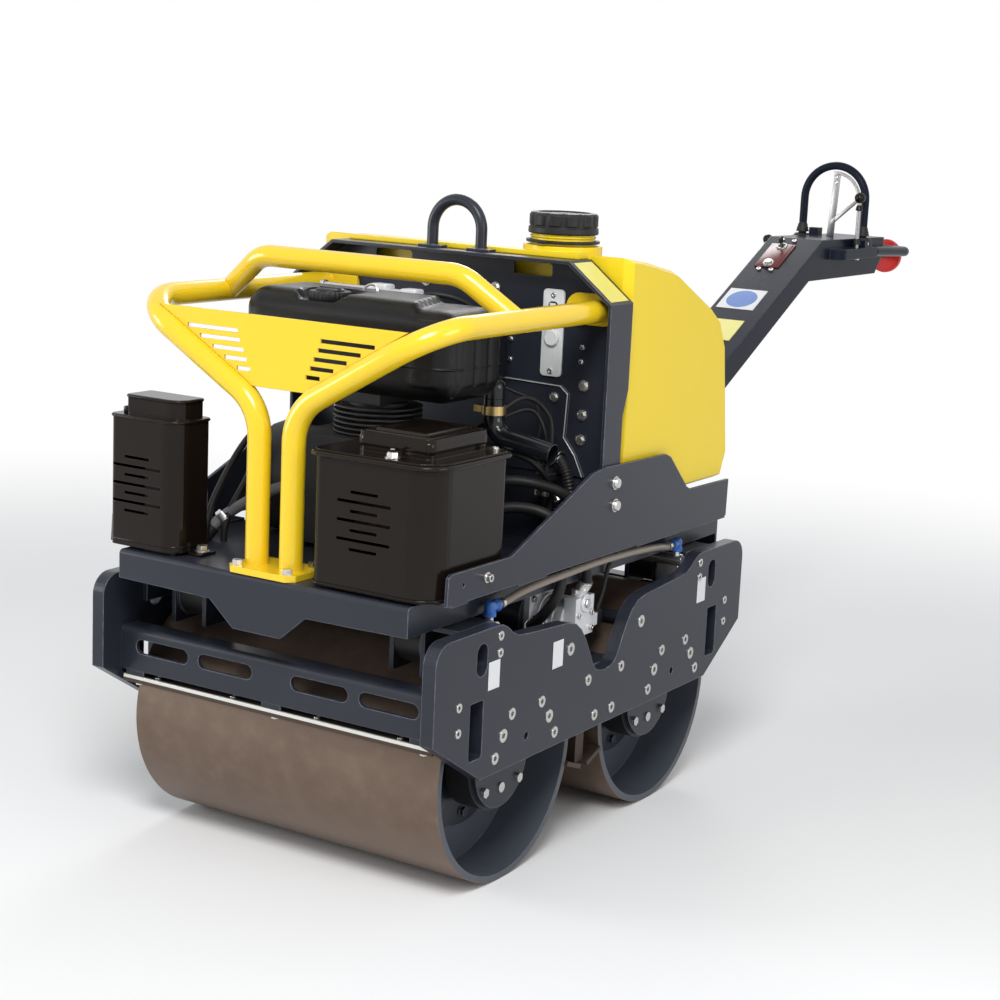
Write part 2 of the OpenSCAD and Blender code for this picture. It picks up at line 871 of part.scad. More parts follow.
// Drum's inner face at the inner blades' tips
inner_tip_y = axle_y - sqrt(drum_r * drum_r - inner_blade_z * inner_blade_z) - scraper_gap;
module inner_scrapers() color(bare_steel) {
  z = axle_z - inner_blade_z;
  both_y() translate([0, inner_tip_y, z]) rotate([inner_blade_tilt, 0, 0])
    block(-scraper_half_w, scraper_half_w, -inner_blade_l, 0, -inner_blade_t, 0);
  for (x = [-1, 0, 1])
    block(x * (scraper_half_w - hanger_w) - hanger_w / 2, x * (scraper_half_w - hanger_w) + hanger_w / 2,
        -hanger_y, hanger_y, z - inner_blade_t * 2, axle_z + cross_lo);
}

module lower_frame_bolts() color(zinc) {
  both_x() both_y() {
    for (b = bolt_table) plate_bolt(b);
    for (y = [-low_bolt_y, low_bolt_y])
      xcyl(low_head_r, carrier_out, carrier_out + low_head_h, axle_y + y, axle_z - low_bolt_z, 6);
    xcyl(low_head_r, carrier_out, carrier_out + washer_t, axle_y, axle_z - low_mid_z, 32);
  }
  both_y() for (x = [-1, 0, 1])
    zcyl(scraper_screw_r, scraper_z0 - scraper_screw_h, scraper_z0,
        x * scraper_screw_x, plate_half_l - beam_front - scraper_screw_back, 6);
}

// Axle carriers
carrier_out = plate_in - carrier_gap;
carrier_in = carrier_out - carrier_t;
module axle_carriers() color(dark_paint) both_x() both_y() difference() {
  union() {
    xcyl(carrier_r, carrier_in, carrier_out, axle_y, axle_z, 96);
    slab_x(carrier_in, carrier_out)
      polygon([[axle_y - carrier_r, axle_z], [axle_y - carrier_wing_y, axle_z + carrier_root_z],
          [axle_y - carrier_wing_y, axle_z + carrier_wing_z], [axle_y - carrier_r, axle_z + carrier_top_z],
          [axle_y + carrier_r, axle_z + carrier_top_z], [axle_y + carrier_wing_y, axle_z + carrier_wing_z],
          [axle_y + carrier_wing_y, axle_z + carrier_root_z], [axle_y + carrier_r, axle_z]]);
    for (b = carrier_bolt_places)
      xcyl(carrier_boss_r, carrier_in, plate_in, axle_y + b[0], axle_z + b[1], 32);
  }
}
housing_in = carrier_in - housing_l;
module bearing_housings() color(black_plastic) both_y() difference() {
  xcyl(housing_r, housing_in, carrier_in, axle_y, axle_z, 96);
  xcyl(bearing_r + fit_gap, housing_in + housing_wall, carrier_in + over, axle_y, axle_z, 64);
  xcyl(journal_r + journal_gap / 2, housing_in - over, carrier_in, axle_y, axle_z, 64);
}
module travel_motors() color(black_plastic) both_y() difference() {
  xcyl(housing_r, -housing_in, -carrier_in, axle_y, axle_z, 96);
  xcyl(journal_r + fit_gap, -housing_in + over, -carrier_in + journal_gap, axle_y, axle_z, 64);
}
module bearing(r_out, r_in, l, x, y, z) difference() {
  xcyl(r_out, x, x + l, y, z, 64);
  xcyl(r_in, x - over, x + l + over, y, z, 64);
}
module bearings() color(silver) {
  both_y() bearing(bearing_r, journal_r + fit_gap, bearing_l, housing_in + housing_wall, axle_y, axle_z);
  bearing(exciter_bearing_r, exciter_shaft_r + fit_gap, exciter_bearing_l,
      -exciter_left + exciter_lip_t, 0, axle_z + exciter_z);
  bearing(exciter_bearing_r, exciter_shaft_r + fit_gap, exciter_bearing_l,
      exciter_right - exciter_lip_t - exciter_bearing_l, 0, axle_z + exciter_z);
}

// Exciter
module exciter_housing() color(dark_paint) {
  z = axle_z + exciter_z;
  difference() {
    union() {
      xcyl(exciter_r, -exciter_left, exciter_right, 0, z, 96);
      for (x = [-exciter_left * 2 / 3, exciter_right * 2 / 3])
        block(x - exciter_foot_w / 2, x + exciter_foot_w / 2, -exciter_foot_y, exciter_foot_y,
            axle_z + cross_hi, z);
    }
    xcyl(exciter_bore_r, -exciter_left + exciter_lip_t + exciter_bearing_l,
        exciter_right - exciter_lip_t - exciter_bearing_l, 0, z, 96);
    xcyl(exciter_bearing_r + fit_gap, -exciter_left + exciter_lip_t, exciter_right - exciter_lip_t,
        0, z, 64);
    xcyl(exciter_shaft_r + over, 0, exciter_right + over, 0, z, 48);
  }
}
module exciter_shaft() color(silver) {
  z = axle_z + exciter_z;
  xcyl(exciter_shaft_r, -exciter_left + exciter_lip_t + over,
      exciter_right + motor_flange_t + exciter_shaft_r, 0, z, 48);
  intersection() {
    xcyl(weight_r, -weight_half_l, weight_half_l, 0, z, 64);
    block(-weight_half_l, weight_half_l, -weight_r, weight_r, z - weight_r, z);
  }
}
motor_end = exciter_right + motor_flange_t + motor_l;
port_out = motor_end + port_block_t;
module exciter_motor() color(silver) {
  z = axle_z + exciter_z;
  difference() {
    union() {
      slab_x(exciter_right, exciter_right + motor_flange_t)
        round_rect(-motor_flange_half, motor_flange_half, z - motor_flange_half, z + motor_flange_half,
            flange_round);
      xcyl(motor_r, exciter_right, motor_end, 0, z, 64);
      block(motor_end, port_out, -port_block_y, port_block_y, z - port_block_lo, z + port_block_hi);
      block(motor_end, port_out, port_block_y, port_block_y + port_side_y,
          z - port_side_h / 2, z + port_side_h / 2);
      ycyl(nipple_r, -motor_r - port_side_y, 0, (exciter_right + motor_end) / 2, z, 32);
    }
    xcyl(exciter_shaft_r + fit_gap, exciter_right - over,
        exciter_right + motor_flange_t + exciter_shaft_r + over, 0, z, 48);
  }
}

// Buffers between the lower frame and the deck
bracket_x = plate_in - bracket_in;
module buffer_brackets() color(dark_paint) both_x() both_y() {
  z1 = axle_z + bracket_top;
  difference() {
    union() {
      slab_x(bracket_x, bracket_x + bracket_t)
        cut_plate(buffer_y - bracket_half_y, buffer_y + bracket_half_y, axle_z + bracket_lo, z1, bracket_cut);
      block(bracket_x, plate_in, buffer_y - bracket_half_y, buffer_y + bracket_half_y, z1 - bracket_t, z1);
      block(plate_in - bracket_t, plate_in, buffer_y - bracket_half_y - bracket_t,
          buffer_y + bracket_half_y, axle_z + bracket_foot_lo, z1);
      xcyl(washer_plate_r, bracket_x - washer_plate_t, bracket_x + over, buffer_y, axle_z + buffer_z, 64);
    }
    for (z = bracket_bolt_zs)
      xcyl(small_head_r * shank_share + seat_gap, plate_in - bracket_t - over, plate_in + over,
          bracket_bolt_y, axle_z + z, 24);
  }
}
// Plate with its low inner corner cut off
module cut_plate(y0, y1, z0, z1, c) polygon([[y0 + c[0], z0], [y1, z0], [y1, z1], [y0, z1], [y0, z0 + c[1]]]);
module rubber_buffers() color([0.1, 0.09, 0.08]) both_x() both_y()
  xcyl(buffer_r, tab_out, bracket_x - washer_plate_t, buffer_y, axle_z + buffer_z, 64);

module sprinkler_bars() color(zinc) both_y() difference() {
  union() {
    xcyl(sprinkler_r, -plate_in, plate_in, sprinkler_y, axle_z + sprinkler_z, 32);
    zcyl(elbow_stub_r, axle_z + sprinkler_z, elbow_lo, elbow_x, sprinkler_y, 32);
  }
  for (x = [-drum_half_w + drip_step:drip_step:drum_half_w - drip_step])
    zcyl(drip_r, axle_z + sprinkler_z - sprinkler_r - over, axle_z + sprinkler_z, x, sprinkler_y, 16);
}

// Drums
module drum() color(bare_steel) difference() {
  xcyl(drum_r, -drum_half_w, drum_half_w, 0, axle_z, 128);
  both_x() xcyl(drum_r - shell_t, drum_half_w - web_in, drum_half_w + over, 0, axle_z, 128);
  xcyl(drum_r - shell_t, -drum_half_w + web_in + web_t, drum_half_w - web_in - web_t, 0, axle_z, 128);
  xcyl(hub_hole_r, -drum_half_w, drum_half_w, 0, axle_z, 64);
}
module drum_hubs() color(bare_steel) both_x() {
  x0 = drum_half_w - web_in;
  xcyl(hub_flange_r, x0, x0 + hub_flange_t, 0, axle_z, 96);
  xcyl(hub_hole_r - seat_gap, x0 - web_t, x0 + over, 0, axle_z, 64);
  xcyl(journal_r, x0, carrier_in - journal_gap - over, 0, axle_z, 64);
  for (a = [0:360 / hub_bolts:359])
    xcyl(hub_bolt_r, x0 + hub_flange_t - over, x0 + hub_flange_t + hub_bolt_h,
        hub_bolt_pcr * cos(a), axle_z + hub_bolt_pcr * sin(a), 6);
}
module front_drum() translate([0, -axle_y, 0]) drum();
module front_drum_hubs() translate([0, -axle_y, 0]) drum_hubs();
module rear_drum() translate([0, axle_y, 0]) drum();
module rear_drum_hubs() translate([0, axle_y, 0]) drum_hubs();

// Deck
module fascia_outline()
  polygon([[-deck_half_w, deck_z], [deck_half_w, deck_z], [deck_half_w, deck_z - fascia_lo],
      [drop_top_y, deck_z - fascia_mid], [drop_bot_y, deck_z - fascia_drop],
      [-drop_bot_y, deck_z - fascia_drop], [-drop_top_y, deck_z - fascia_mid],
      [-deck_half_w, deck_z - fascia_lo]]);
module deck_frame() color(dark_paint) difference() {
  union() {
    block(-deck_half_w, deck_half_w, -deck_half_l + fascia_roll_r, deck_half_l, deck_z - deck_t, deck_z);
    difference() {
      slab_y(-deck_half_l, -deck_half_l + deck_t) fascia_outline();
      block(-deck_half_w - over, deck_half_w + over, -deck_half_l - over, -deck_half_l + fascia_roll_r,
          deck_z - fascia_roll_r, deck_z + over);
    }
    intersection() {
      difference() {
        xcyl(fascia_roll_r, -deck_half_w, deck_half_w, -deck_half_l + fascia_roll_r,
            deck_z - fascia_roll_r, 48);
        xcyl(fascia_roll_r - deck_t, -deck_half_w - over, deck_half_w + over,
            -deck_half_l + fascia_roll_r, deck_z - fascia_roll_r, 32);
      }
      block(-deck_half_w, deck_half_w, -deck_half_l, -deck_half_l + fascia_roll_r,
          deck_z - fascia_roll_r, deck_z);
    }
    both_x() block(deck_half_w - deck_t, deck_half_w, -deck_half_l + deck_t / 2, deck_half_l,
        deck_z - fascia_lo, deck_z - deck_t / 2);
    block(-deck_half_w, deck_half_w, deck_half_l - deck_t, deck_half_l, deck_z - fascia_drop, deck_z);
    // Rails below the water tank
    both_x() block(rail_x, rail_x + rail_w, rail_y[0], rail_y[1], deck_z - over, deck_z + tank_low);
    both_x() both_y() slab_x(tab_out - tab_t, tab_out)
      cut_plate(buffer_y - tab_half_y, buffer_y + tab_half_y, axle_z + buffer_z - tab_drop,
          deck_z - deck_t / 2, tab_cut);
  }
}

// Side skirts with a lip on the deck
module skirt() color(dark_paint) difference() {
  union() {
    slab_x(skirt_out - skirt_t, skirt_out) polygon([for (p = skirt_pts) [p[0], deck_z + p[1]]]);
    for (r = lip_runs) block(skirt_out - lip_in, skirt_out, r[0], r[1], deck_z, deck_z + lip_t);
  }
  xcyl(skirt_hole_r, skirt_out - skirt_t - over, skirt_out + over, skirt_hole_place[0],
      deck_z + skirt_hole_place[1], 24);
}
module side_skirts() both_x() skirt();

module dome_bolt(x, y, z) {
  xcyl(dome_r, x, x + dome_h / 2, y, z, 40);
  translate([x + dome_h / 2, y, z]) rotate([0, 90, 0]) difference() {
    sphere(r = dome_r * head_h_share, $fn = 32);
    translate([-dome_r, -dome_r, -2 * dome_r]) cube([2 * dome_r, 2 * dome_r, 2 * dome_r]);
    translate([-dome_r, -dome_r, dome_h]) cube([2 * dome_r, 2 * dome_r, 2 * dome_r]);
  }
}
module support_bolt(b, y) {
  zz = deck_z + b[1];
  for (s = [-1, 1]) {
    ycyl(b[2], y - washer_t, y, s * b[0], zz, 32);
    ycyl(b[2] * head_h_share * head_h_share, y - washer_t - b[2] * head_h_share / 2, y, s * b[0], zz, 6);
  }
}
module frame_bolts() color(zinc) {
  both_x() {
    for (p = dome_places) dome_bolt(skirt_out, p[0], deck_z + p[1]);
    side_bolt(skirt_out, skirt_bolt_place[0], deck_z + skirt_bolt_place[1], skirt_bolt_r, 0);
  }
  for (b = support_bolts) support_bolt(b, support_plate_y);
  support_bolt(bracket_plate_bolt, support_plate_y - bracket_plate_t);
  both_x() for (y = [guard_base_front - guard_base_bolt_in, guard_base_back + guard_base_bolt_in])
    zcyl(small_head_r, deck_z + guard_base_t, deck_z + guard_base_t + small_head_r,
        guard_base_x - guard_base_bolt_in - small_head_r / 2, -y, 6);
}

// Guard frame of bent tube
guard_r = guard_d / 2;
side_z = deck_z + guard_side_h;
bar_z = side_z + guard_bar_h;
guard_path = [[guard_leg_x, -guard_y, deck_z + guard_base_t / 2],
    [guard_leg_x, -guard_y, deck_z + guard_knee_h],
    [guard_corner_x, -guard_y, side_z], [guard_corner_x, support_plate_y, side_z]];
module guard_frame() color(yellow_paint) {
  both_x() {
    bent_tube(guard_path, guard_r, guard_knee_r);
    slab_y(support_plate_y - guard_ring_t, support_plate_y)
      obround(guard_corner_x - guard_ring_out / 2, side_z, 2 * guard_ring_r + guard_ring_out,
          2 * guard_ring_r);
  }
  bent_tube([[-guard_corner_x, -guard_join_y, side_z], [-guard_bar_x, -guard_bar_y, bar_z],
      [guard_bar_x, -guard_bar_y, bar_z], [guard_corner_x, -guard_join_y, side_z]],
      guard_r - tube_lap, guard_bar_r);
  difference() {
    block(-guard_base_x, guard_base_x, -guard_base_front, -guard_base_back, deck_z, deck_z + guard_base_t);
    for (x = [-1, 1], y = [-guard_base_front, -guard_base_back])
      translate([x * guard_base_x, y, deck_z - over]) rotate(45)
        translate([-guard_base_cut / 2, -guard_base_cut / 2, 0])
          cube([guard_base_cut, guard_base_cut, guard_base_t + 2 * over]);
  }
}
module guard_infill() color(yellow_paint) difference() {
  slab_y(-guard_y - infill_t / 2, -guard_y + infill_t / 2)
    polygon([[-infill_top_x, deck_z + infill_top_h], [infill_top_x, deck_z + infill_top_h],
        [infill_bot_x, deck_z + infill_bot_h], [-infill_bot_x, deck_z + infill_bot_h]]);
  both_x() {
    bent_tube([guard_path[0], guard_path[1], guard_path[2]], guard_r + seat_gap, guard_knee_r);
    for (i = [0:len(infill_slot_ins) - 1])
      slab_y(-guard_y - infill_t, -guard_y + infill_t)
        translate([infill_slot_ins[i], deck_z + infill_slot_top - i * infill_slot_step - infill_slot_h / 2])
          square([infill_slot_outs[i] - infill_slot_ins[i], infill_slot_h]);
  }
}

// Rear support
support_top = deck_z + support_h;
module support_outline(d)
  polygon([[-support_half_w + d, deck_z], [-support_half_w + d, support_top - support_cham_z - d / 2],
      [-support_half_w + support_cham_x + d / 2, support_top - d],
      [support_half_w - support_cham_x - d / 2, support_top - d],
      [support_half_w - d, support_top - support_cham_z - d / 2], [support_half_w - d, deck_z]]);
module support_frame() color(dark_paint) {
  difference() {
    slab_y(-support_front, support_back) difference() {
      support_outline(0);
      support_outline(support_t);
      translate([-support_half_w, deck_z - over]) square([2 * support_half_w, over]);
    }
    both_x() slab_x(support_half_w - 2 * support_t, support_half_w + over)
      polygon([[support_back - support_step_y, deck_z - over], [support_back + over, deck_z - over],
          [support_back + over, deck_z + support_step_z + 2 * support_step_y],
          [support_back - support_step_y, deck_z + support_step_z - support_step_y]]);
    both_x() block(deck_half_w, support_half_w + over, -support_front - over, support_back + over,
        deck_z - over, deck_z + lip_t);
  }
  difference() {
    slab_y(support_plate_y, support_plate_y + support_t) support_outline(support_t / 2);
    slab_y(support_plate_y - over, support_plate_y + support_t + over) both_x_2d()
      round_rect(win_in, win_out, deck_z + win_lo, deck_z + win_hi, win_r);
    both_x() block(deck_half_w, support_half_w + over, -support_front - over, support_back + over,
        deck_z - over, deck_z + lip_t);
  }
  both_x() slab_y(support_plate_y - bracket_plate_t, support_plate_y + over)
    polygon([for (p = bracket_pts) [p[0], deck_z + p[1]]]);
}
module level_gauge() color([0.9, 0.9, 0.88])
  slab_y(support_plate_y - gauge_t, support_plate_y)
    round_rect(gauge_x, gauge_x + gauge_w, deck_z + gauge_lo, deck_z + gauge_hi, gauge_r);
module lifting_eye() color(dark_paint) {
  z = support_top + eye_h - eye_r - eye_half_w;
  for (s = [-1, 1]) {
    zcyl(eye_r, support_top, z, s * eye_half_w, eye_y, 32);
    block(s * eye_half_w - eye_pad_w / 2, s * eye_half_w + eye_pad_w / 2, eye_y - eye_pad_l / 2,
        eye_y + eye_pad_l / 2, support_top, support_top + eye_pad_t);
  }
  translate([0, eye_y, z]) rotate([90, 0, 0])
    rotate_extrude(angle = 180, $fn = 96) translate([eye_half_w, 0]) circle(r = eye_r, $fn = 32);
}

// Water tank: a hollow moulding with rounded side edges
function tank_profile(d) = [for (i = [0:len(tank_pts) - 1])
  [tank_pts[i][0] + (i < 2 ? d : i > 4 ? -d : i == 2 ? 0 : -d / 2),
   deck_z + tank_pts[i][1] + (i == 0 || i > 6 ? d : -d * (i == 5 ? tank_edge_share : tank_top_share))]];
module water_tank() color(yellow_paint) difference() {
  union() {
    slab_x(-tank_half_w + tank_round, tank_half_w - tank_round) polygon(tank_profile(0));
    both_x() hull() {
      slab_x(tank_half_w - tank_round - over, tank_half_w - tank_round) polygon(tank_profile(0));
      slab_x(tank_half_w - over, tank_half_w) polygon(tank_profile(tank_round / 2));
    }
    block(-tank_lip_half_w, tank_lip_half_w, tank_lip_y, tank_front + tank_wall,
        support_top + seat_gap, support_top + tank_lip_h);
    difference() {
      union() {
        zcyl(neck_r, deck_z + tank_pts[2][1] - tank_round, deck_z + neck_top, neck_x, neck_y, 64);
        zcyl(neck_base_r, deck_z + tank_pts[2][1] - tank_round, support_top + tank_lip_h + neck_base_h,
            neck_x, neck_y, 64);
      }
      neck_front(tank_front, support_top + seat_gap);
    }
  }
  slab_x(-tank_half_w + tank_round + tank_wall, tank_half_w - tank_round - tank_wall)
    polygon(tank_profile(tank_wall));
  difference() {
    zcyl(neck_bore_r, deck_z + tank_pts[2][1] - 2 * tank_round, deck_z + neck_top + over, neck_x, neck_y, 64);
    neck_front(tank_front + tank_wall, support_top + tank_lip_h);
  }
}
// Space in front of the filler neck, over the support
module neck_front(y, z)
  block(neck_x - neck_base_r - over, neck_x + neck_base_r + over, neck_y - neck_base_r - over, y,
      z - 2 * neck_bore_r, z);
module water_cap() color(black_plastic) {
  z = deck_z + neck_top + seat_gap;
  r = water_cap_d / 2 - cap_rib_r / 2;
  zcyl(r, z, z + cap_h, neck_x, neck_y, 64);
  zcyl(neck_bore_r - over, z - cap_skirt, z + over, neck_x, neck_y, 64);
  for (a = [0:360 / cap_ribs:359])
    zcyl(cap_rib_r, z, z + cap_h - cap_wall, neck_x + (r - cap_rib_r / 2) * cos(a),
        neck_y + (r - cap_rib_r / 2) * sin(a), 16);
}

// Engine
crank_h = deck_z + crank_z;
module engine_block() color([0.13, 0.13, 0.14]) difference() {
  union() {
    block(-block_left, block_right, crank_y - block_half_y, crank_y + block_half_y,
        deck_z + block_lo, deck_z + block_hi);
    both_x() for (y = [crank_y - block_half_y, crank_y + block_half_y - block_foot_w])
      block(block_left - block_foot_w, block_left, y, y + block_foot_w, deck_z, deck_z + block_lo + over);
    zcyl(barrel_r, deck_z + block_hi - over, deck_z + barrel_top, 0, crank_y, 64);
    for (i = [0:fins - 1])
      zcyl(fin_r, deck_z + block_hi + fin_t + i * fin_step, deck_z + block_hi + 2 * fin_t + i * fin_step,
          0, crank_y, 64);
    block(-fuel_post_w, fuel_post_w, crank_y - barrel_r, crank_y + barrel_r,
        deck_z + barrel_top - over, deck_z + fuel_lo - seat_gap);
  }
  xcyl(chamber_r, -chamber_half, chamber_half, crank_y, crank_h, 64);
  xcyl(crank_r + fit_gap, -block_left - over, block_right + over, crank_y, crank_h, 48);
}
pump_x = block_right + pump_flange_t;
pump_port_y = crank_y + pump_half + pump_port_h;
module crankshaft() color(silver) {
  xcyl(crank_r, -flywheel_in - flywheel_t, block_right + shaft_in_pump, crank_y, crank_h, 48);
  xcyl(flywheel_r, -flywheel_in - flywheel_t, -flywheel_in, crank_y, crank_h, 64);
  for (s = [-1, 1])
    xcyl(web_r, s * web_l, s * 2 * web_l, crank_y, crank_h, 48);
}
module engine_cowl() color(black_plastic) difference() {
  xcyl(cowl_r, -cowl_left, -block_left, crank_y, crank_h, 96);
  xcyl(cowl_r - cowl_t, -cowl_left + cowl_t, -block_left + over, crank_y, crank_h, 96);
  difference() {
    xcyl(cowl_hole_r, -cowl_left - over, -cowl_left + cowl_t + over, crank_y, crank_h, 64);
    for (i = [0:cowl_bars - 1])
      block(-cowl_left - 2 * over, -cowl_left + cowl_t + 2 * over, crank_y - cowl_hole_r,
          crank_y + cowl_hole_r, crank_h + (i - (cowl_bars - 1) / 2) * cowl_bar_step - cowl_bar_w / 2,
          crank_h + (i - (cowl_bars - 1) / 2) * cowl_bar_step + cowl_bar_w / 2);
  }
}
// Dish round the filler and form of the tank, moved inwards by d
module fuel_dish_cut(d)
  zcyl(fuel_dish_r + d, deck_z + fuel_hi - fuel_dish - d, deck_z + fuel_hi + over, fuel_cap_x,
      fuel_cap_y, 64);
module fuel_form(d) intersection() {
  slab_y(-fuel_front + d, -fuel_back - d)
    round_rect(-fuel_half_w + d, fuel_half_w - d, deck_z + fuel_lo + d, deck_z + fuel_hi - d,
        [fuel_strap_h, fuel_strap_h, fuel_r - d, fuel_r - d]);
  slab_x(-fuel_half_w, fuel_half_w)
    round_rect(-fuel_front + d, -fuel_back - d, deck_z + fuel_lo + d, deck_z + fuel_hi - d,
        [fuel_strap_h / 2, fuel_strap_h / 2, fuel_edge_r / 2, fuel_edge_r - d]);
}
module fuel_tank() color(black_plastic) difference() {
  fuel_form(0);
  fuel_dish_cut(0);
  difference() {
    fuel_form(tank_wall);
    fuel_dish_cut(tank_wall);
  }
  zcyl(fuel_neck_r, deck_z + fuel_hi - fuel_dish - 2 * tank_wall, deck_z + fuel_hi, fuel_cap_x,
      fuel_cap_y, 48);
}
module fuel_cap() color(black_plastic) {
  z = deck_z + fuel_hi - fuel_dish + seat_gap;
  zcyl(fuel_cap_d / 2, z, z + fuel_cap_h, fuel_cap_x, fuel_cap_y, 48);
  zcyl(fuel_neck_r - over, z - fuel_neck_h, z + over, fuel_cap_x, fuel_cap_y, 48);
}
module air_filter() color(black_plastic) {
  slab_y(filter_y0, filter_y1)
    round_rect(filter_x0, filter_x1, deck_z + filter_lo, deck_z + filter_hi, filter_rounds);
  // Outlet towards the pipe, behind the fuel tank's corner
  at = [pipe_pts[0][0], pipe_pts[0][1], deck_z + filter_lo + pipe_r];
  xcyl(pipe_r, filter_x1 - over, at[0], at[1], at[2], 48);
  translate(at) sphere(r = pipe_r + tube_step, $fn = 48);
  zcyl(pipe_r, deck_z + filter_lo, at[2], at[0], at[1], 48);
  block(filter_post[0], filter_post[1], filter_y1 - over, support_plate_y,
      deck_z + filter_lo + fuel_post_w, deck_z + filter_hi - fuel_post_w);
}
module muffler() color([0.36, 0.27, 0.22]) {
  xcyl(muffler_r, muffler_x - muffler_half_w, muffler_x + muffler_half_w, muffler_y,
      deck_z + muffler_z, 64);
  for (s = [-1, 1])
    block(muffler_x + s * muffler_half_w / 2 - strip_w, muffler_x + s * muffler_half_w / 2 + strip_w,
        muffler_y - stub_r, muffler_y + stub_r, deck_z, deck_z + muffler_z - muffler_r / 2);
  bent_tube([[block_right, stub_y, deck_z + stub_z], [stub_x, stub_y, deck_z + stub_z],
      [stub_x, muffler_y + muffler_r / 2, deck_z + stub_z]], stub_r, stub_bend);
}

// Guards
rg_z0 = deck_z + lip_t;
rg_top = rg_z0 + rg_h;
module rg_outline(d)
  round_rect(rg_x0 + d, rg_x1 - d, -rg_front + d, -rg_back - d,
      [rg_small_round - d, rg_round - d, rg_small_round - d, rg_small_round - d]);
module guard_slots(mid, front, z0, n, long, short, wall)
  slab_y(-front - over, -front + wall + over) for (i = [0:n - 1])
    translate([mid - (i % 2 == 0 ? short : long) / 2, z0 + i * slot_gap])
      square([i % 2 == 0 ? short : long, slot_h]);
module right_guard() color(black_plastic) {
  difference() {
    union() {
      translate([0, 0, rg_z0]) linear_extrude(height = rg_h) rg_outline(0);
      translate([0, 0, rg_top - rg_rim_h]) linear_extrude(height = rg_rim_h) rg_outline(-rg_rim);
    }
    translate([0, 0, rg_z0 - over]) linear_extrude(height = rg_h + 2 * over) rg_outline(rg_wall);
    guard_slots(rg_slot_mid, rg_front, rg_z0 + rg_slot_lo, rg_slots, rg_long, rg_short, rg_wall);
    // Exhaust opening in the rear wall
    ycyl(stub_r + 2 * over, -rg_back - rg_wall - over, -rg_back + over, stub_x, deck_z + stub_z, 32);
  }
  // Feet beside the lip
  for (y = [-rg_front + rg_small_round, -rg_back - rg_small_round - foot_l])
    block(rg_x0, rg_x0 + foot_l, y, y + foot_l, deck_z, rg_z0 + rg_wall);
}
module right_guard_lid() color(black_plastic) {
  difference() {
    union() {
      translate([0, 0, rg_top]) linear_extrude(height = lid_flange_t) rg_outline(-rg_rim / 2);
      translate([0, 0, rg_top]) linear_extrude(height = lid_h) lid_outline(0);
    }
    translate([0, 0, rg_top - over]) linear_extrude(height = lid_h - lid_wall + over) lid_outline(lid_wall);
  }
  zcyl(small_head_r, rg_top + lid_flange_t, rg_top + lid_flange_t + washer_t, lid_stud_x, lid_stud_y, 6);
  zcyl(small_head_r / 2, rg_top + lid_flange_t, rg_top + lid_flange_t + lid_stud_h,
      lid_stud_x, lid_stud_y, 24);
}
module lid_outline(d)
  round_rect(lid_x0 + d, lid_x1 - d, -rg_front + lid_in + d, -rg_back - lid_back_in - d,
      rg_small_round - d);
lg_z0 = deck_z + lip_t;
module lg_outline(d, left = 0, ends = 0)
  round_rect(-lg_x0 + d + left, -lg_x1 - d, -lg_front + d + ends, -lg_back - d - ends,
      [lg_round - d, lg_big_round - d, lg_round - d, lg_round - d]);
module left_guard() color(black_plastic) {
  difference() {
    union() {
      translate([0, 0, lg_z0]) linear_extrude(height = lg_h) lg_outline(0);
      translate([0, 0, lg_z0 + lg_h - over]) linear_extrude(height = lg_cap_h + over)
        lg_outline(lg_cap_in, lg_cap_left, lg_cap_ends);
    }
    translate([0, 0, lg_z0 - over]) linear_extrude(height = lg_h - lg_wall + over) lg_outline(lg_wall);
    translate([0, 0, lg_z0 - over]) linear_extrude(height = lg_h + lg_cap_h - lg_wall + over)
      lg_outline(lg_cap_in + lg_wall, lg_cap_left, lg_cap_ends);
    guard_slots(-lg_slot_mid, lg_front, lg_z0 + lg_slot_lo, lg_slots, lg_long, lg_short, lg_wall);
  }
  block(-lg_x1 - lg_wall, -lg_x1 + foot_l, -foot_y0, -foot_y1, deck_z, deck_z + lip_t);
  zcyl(small_head_r, deck_z + lip_t, deck_z + lip_t + small_head_r,
      -lg_x1 + foot_l / 2, -(foot_y0 + foot_y1) / 2, 6);
}
module battery() color(black_plastic)
  block(-lg_x0 + lg_wall + battery_in + lip_in, -lg_x1 - lg_wall - battery_in,
      -lg_front + lg_wall + battery_in, -lg_back - lg_wall - battery_in, deck_z, deck_z + battery_h);

// Breather pipe
pipe_places = [for (p = pipe_pts) [p[0], p[1], deck_z + p[2]]];
module breather_pipe() color(black_plastic) difference() {
  bent_tube(pipe_places, pipe_r, pipe_bend_r, 32);
  bent_tube([pipe_places[0] + over * unit(pipe_places[0] - pipe_places[1]), pipe_places[1],
      pipe_places[2] + over * unit(pipe_places[2] - pipe_places[1])], pipe_r - pipe_wall, pipe_bend_r, 32);
}
module hose_clamp() color([0.75, 0.62, 0.4]) {
  d = unit(pipe_places[1] - pipe_places[0]);
  difference() {
    rod(pipe_places[0] + d * clamp_drop, pipe_places[0] + d * (clamp_drop + clamp_w), pipe_r + clamp_t, 48);
    rod(pipe_places[0], pipe_places[0] + d * (clamp_drop + 2 * clamp_w), pipe_r + fit_gap, 48);
  }
  translate(pipe_places[0] + d * (clamp_drop + clamp_w / 2))
    block(-pipe_r - clamp_t - clamp_w, -pipe_r - clamp_t + over / 2, -clamp_w / 2, clamp_w / 2,
        -clamp_screw_r, clamp_screw_r);
}
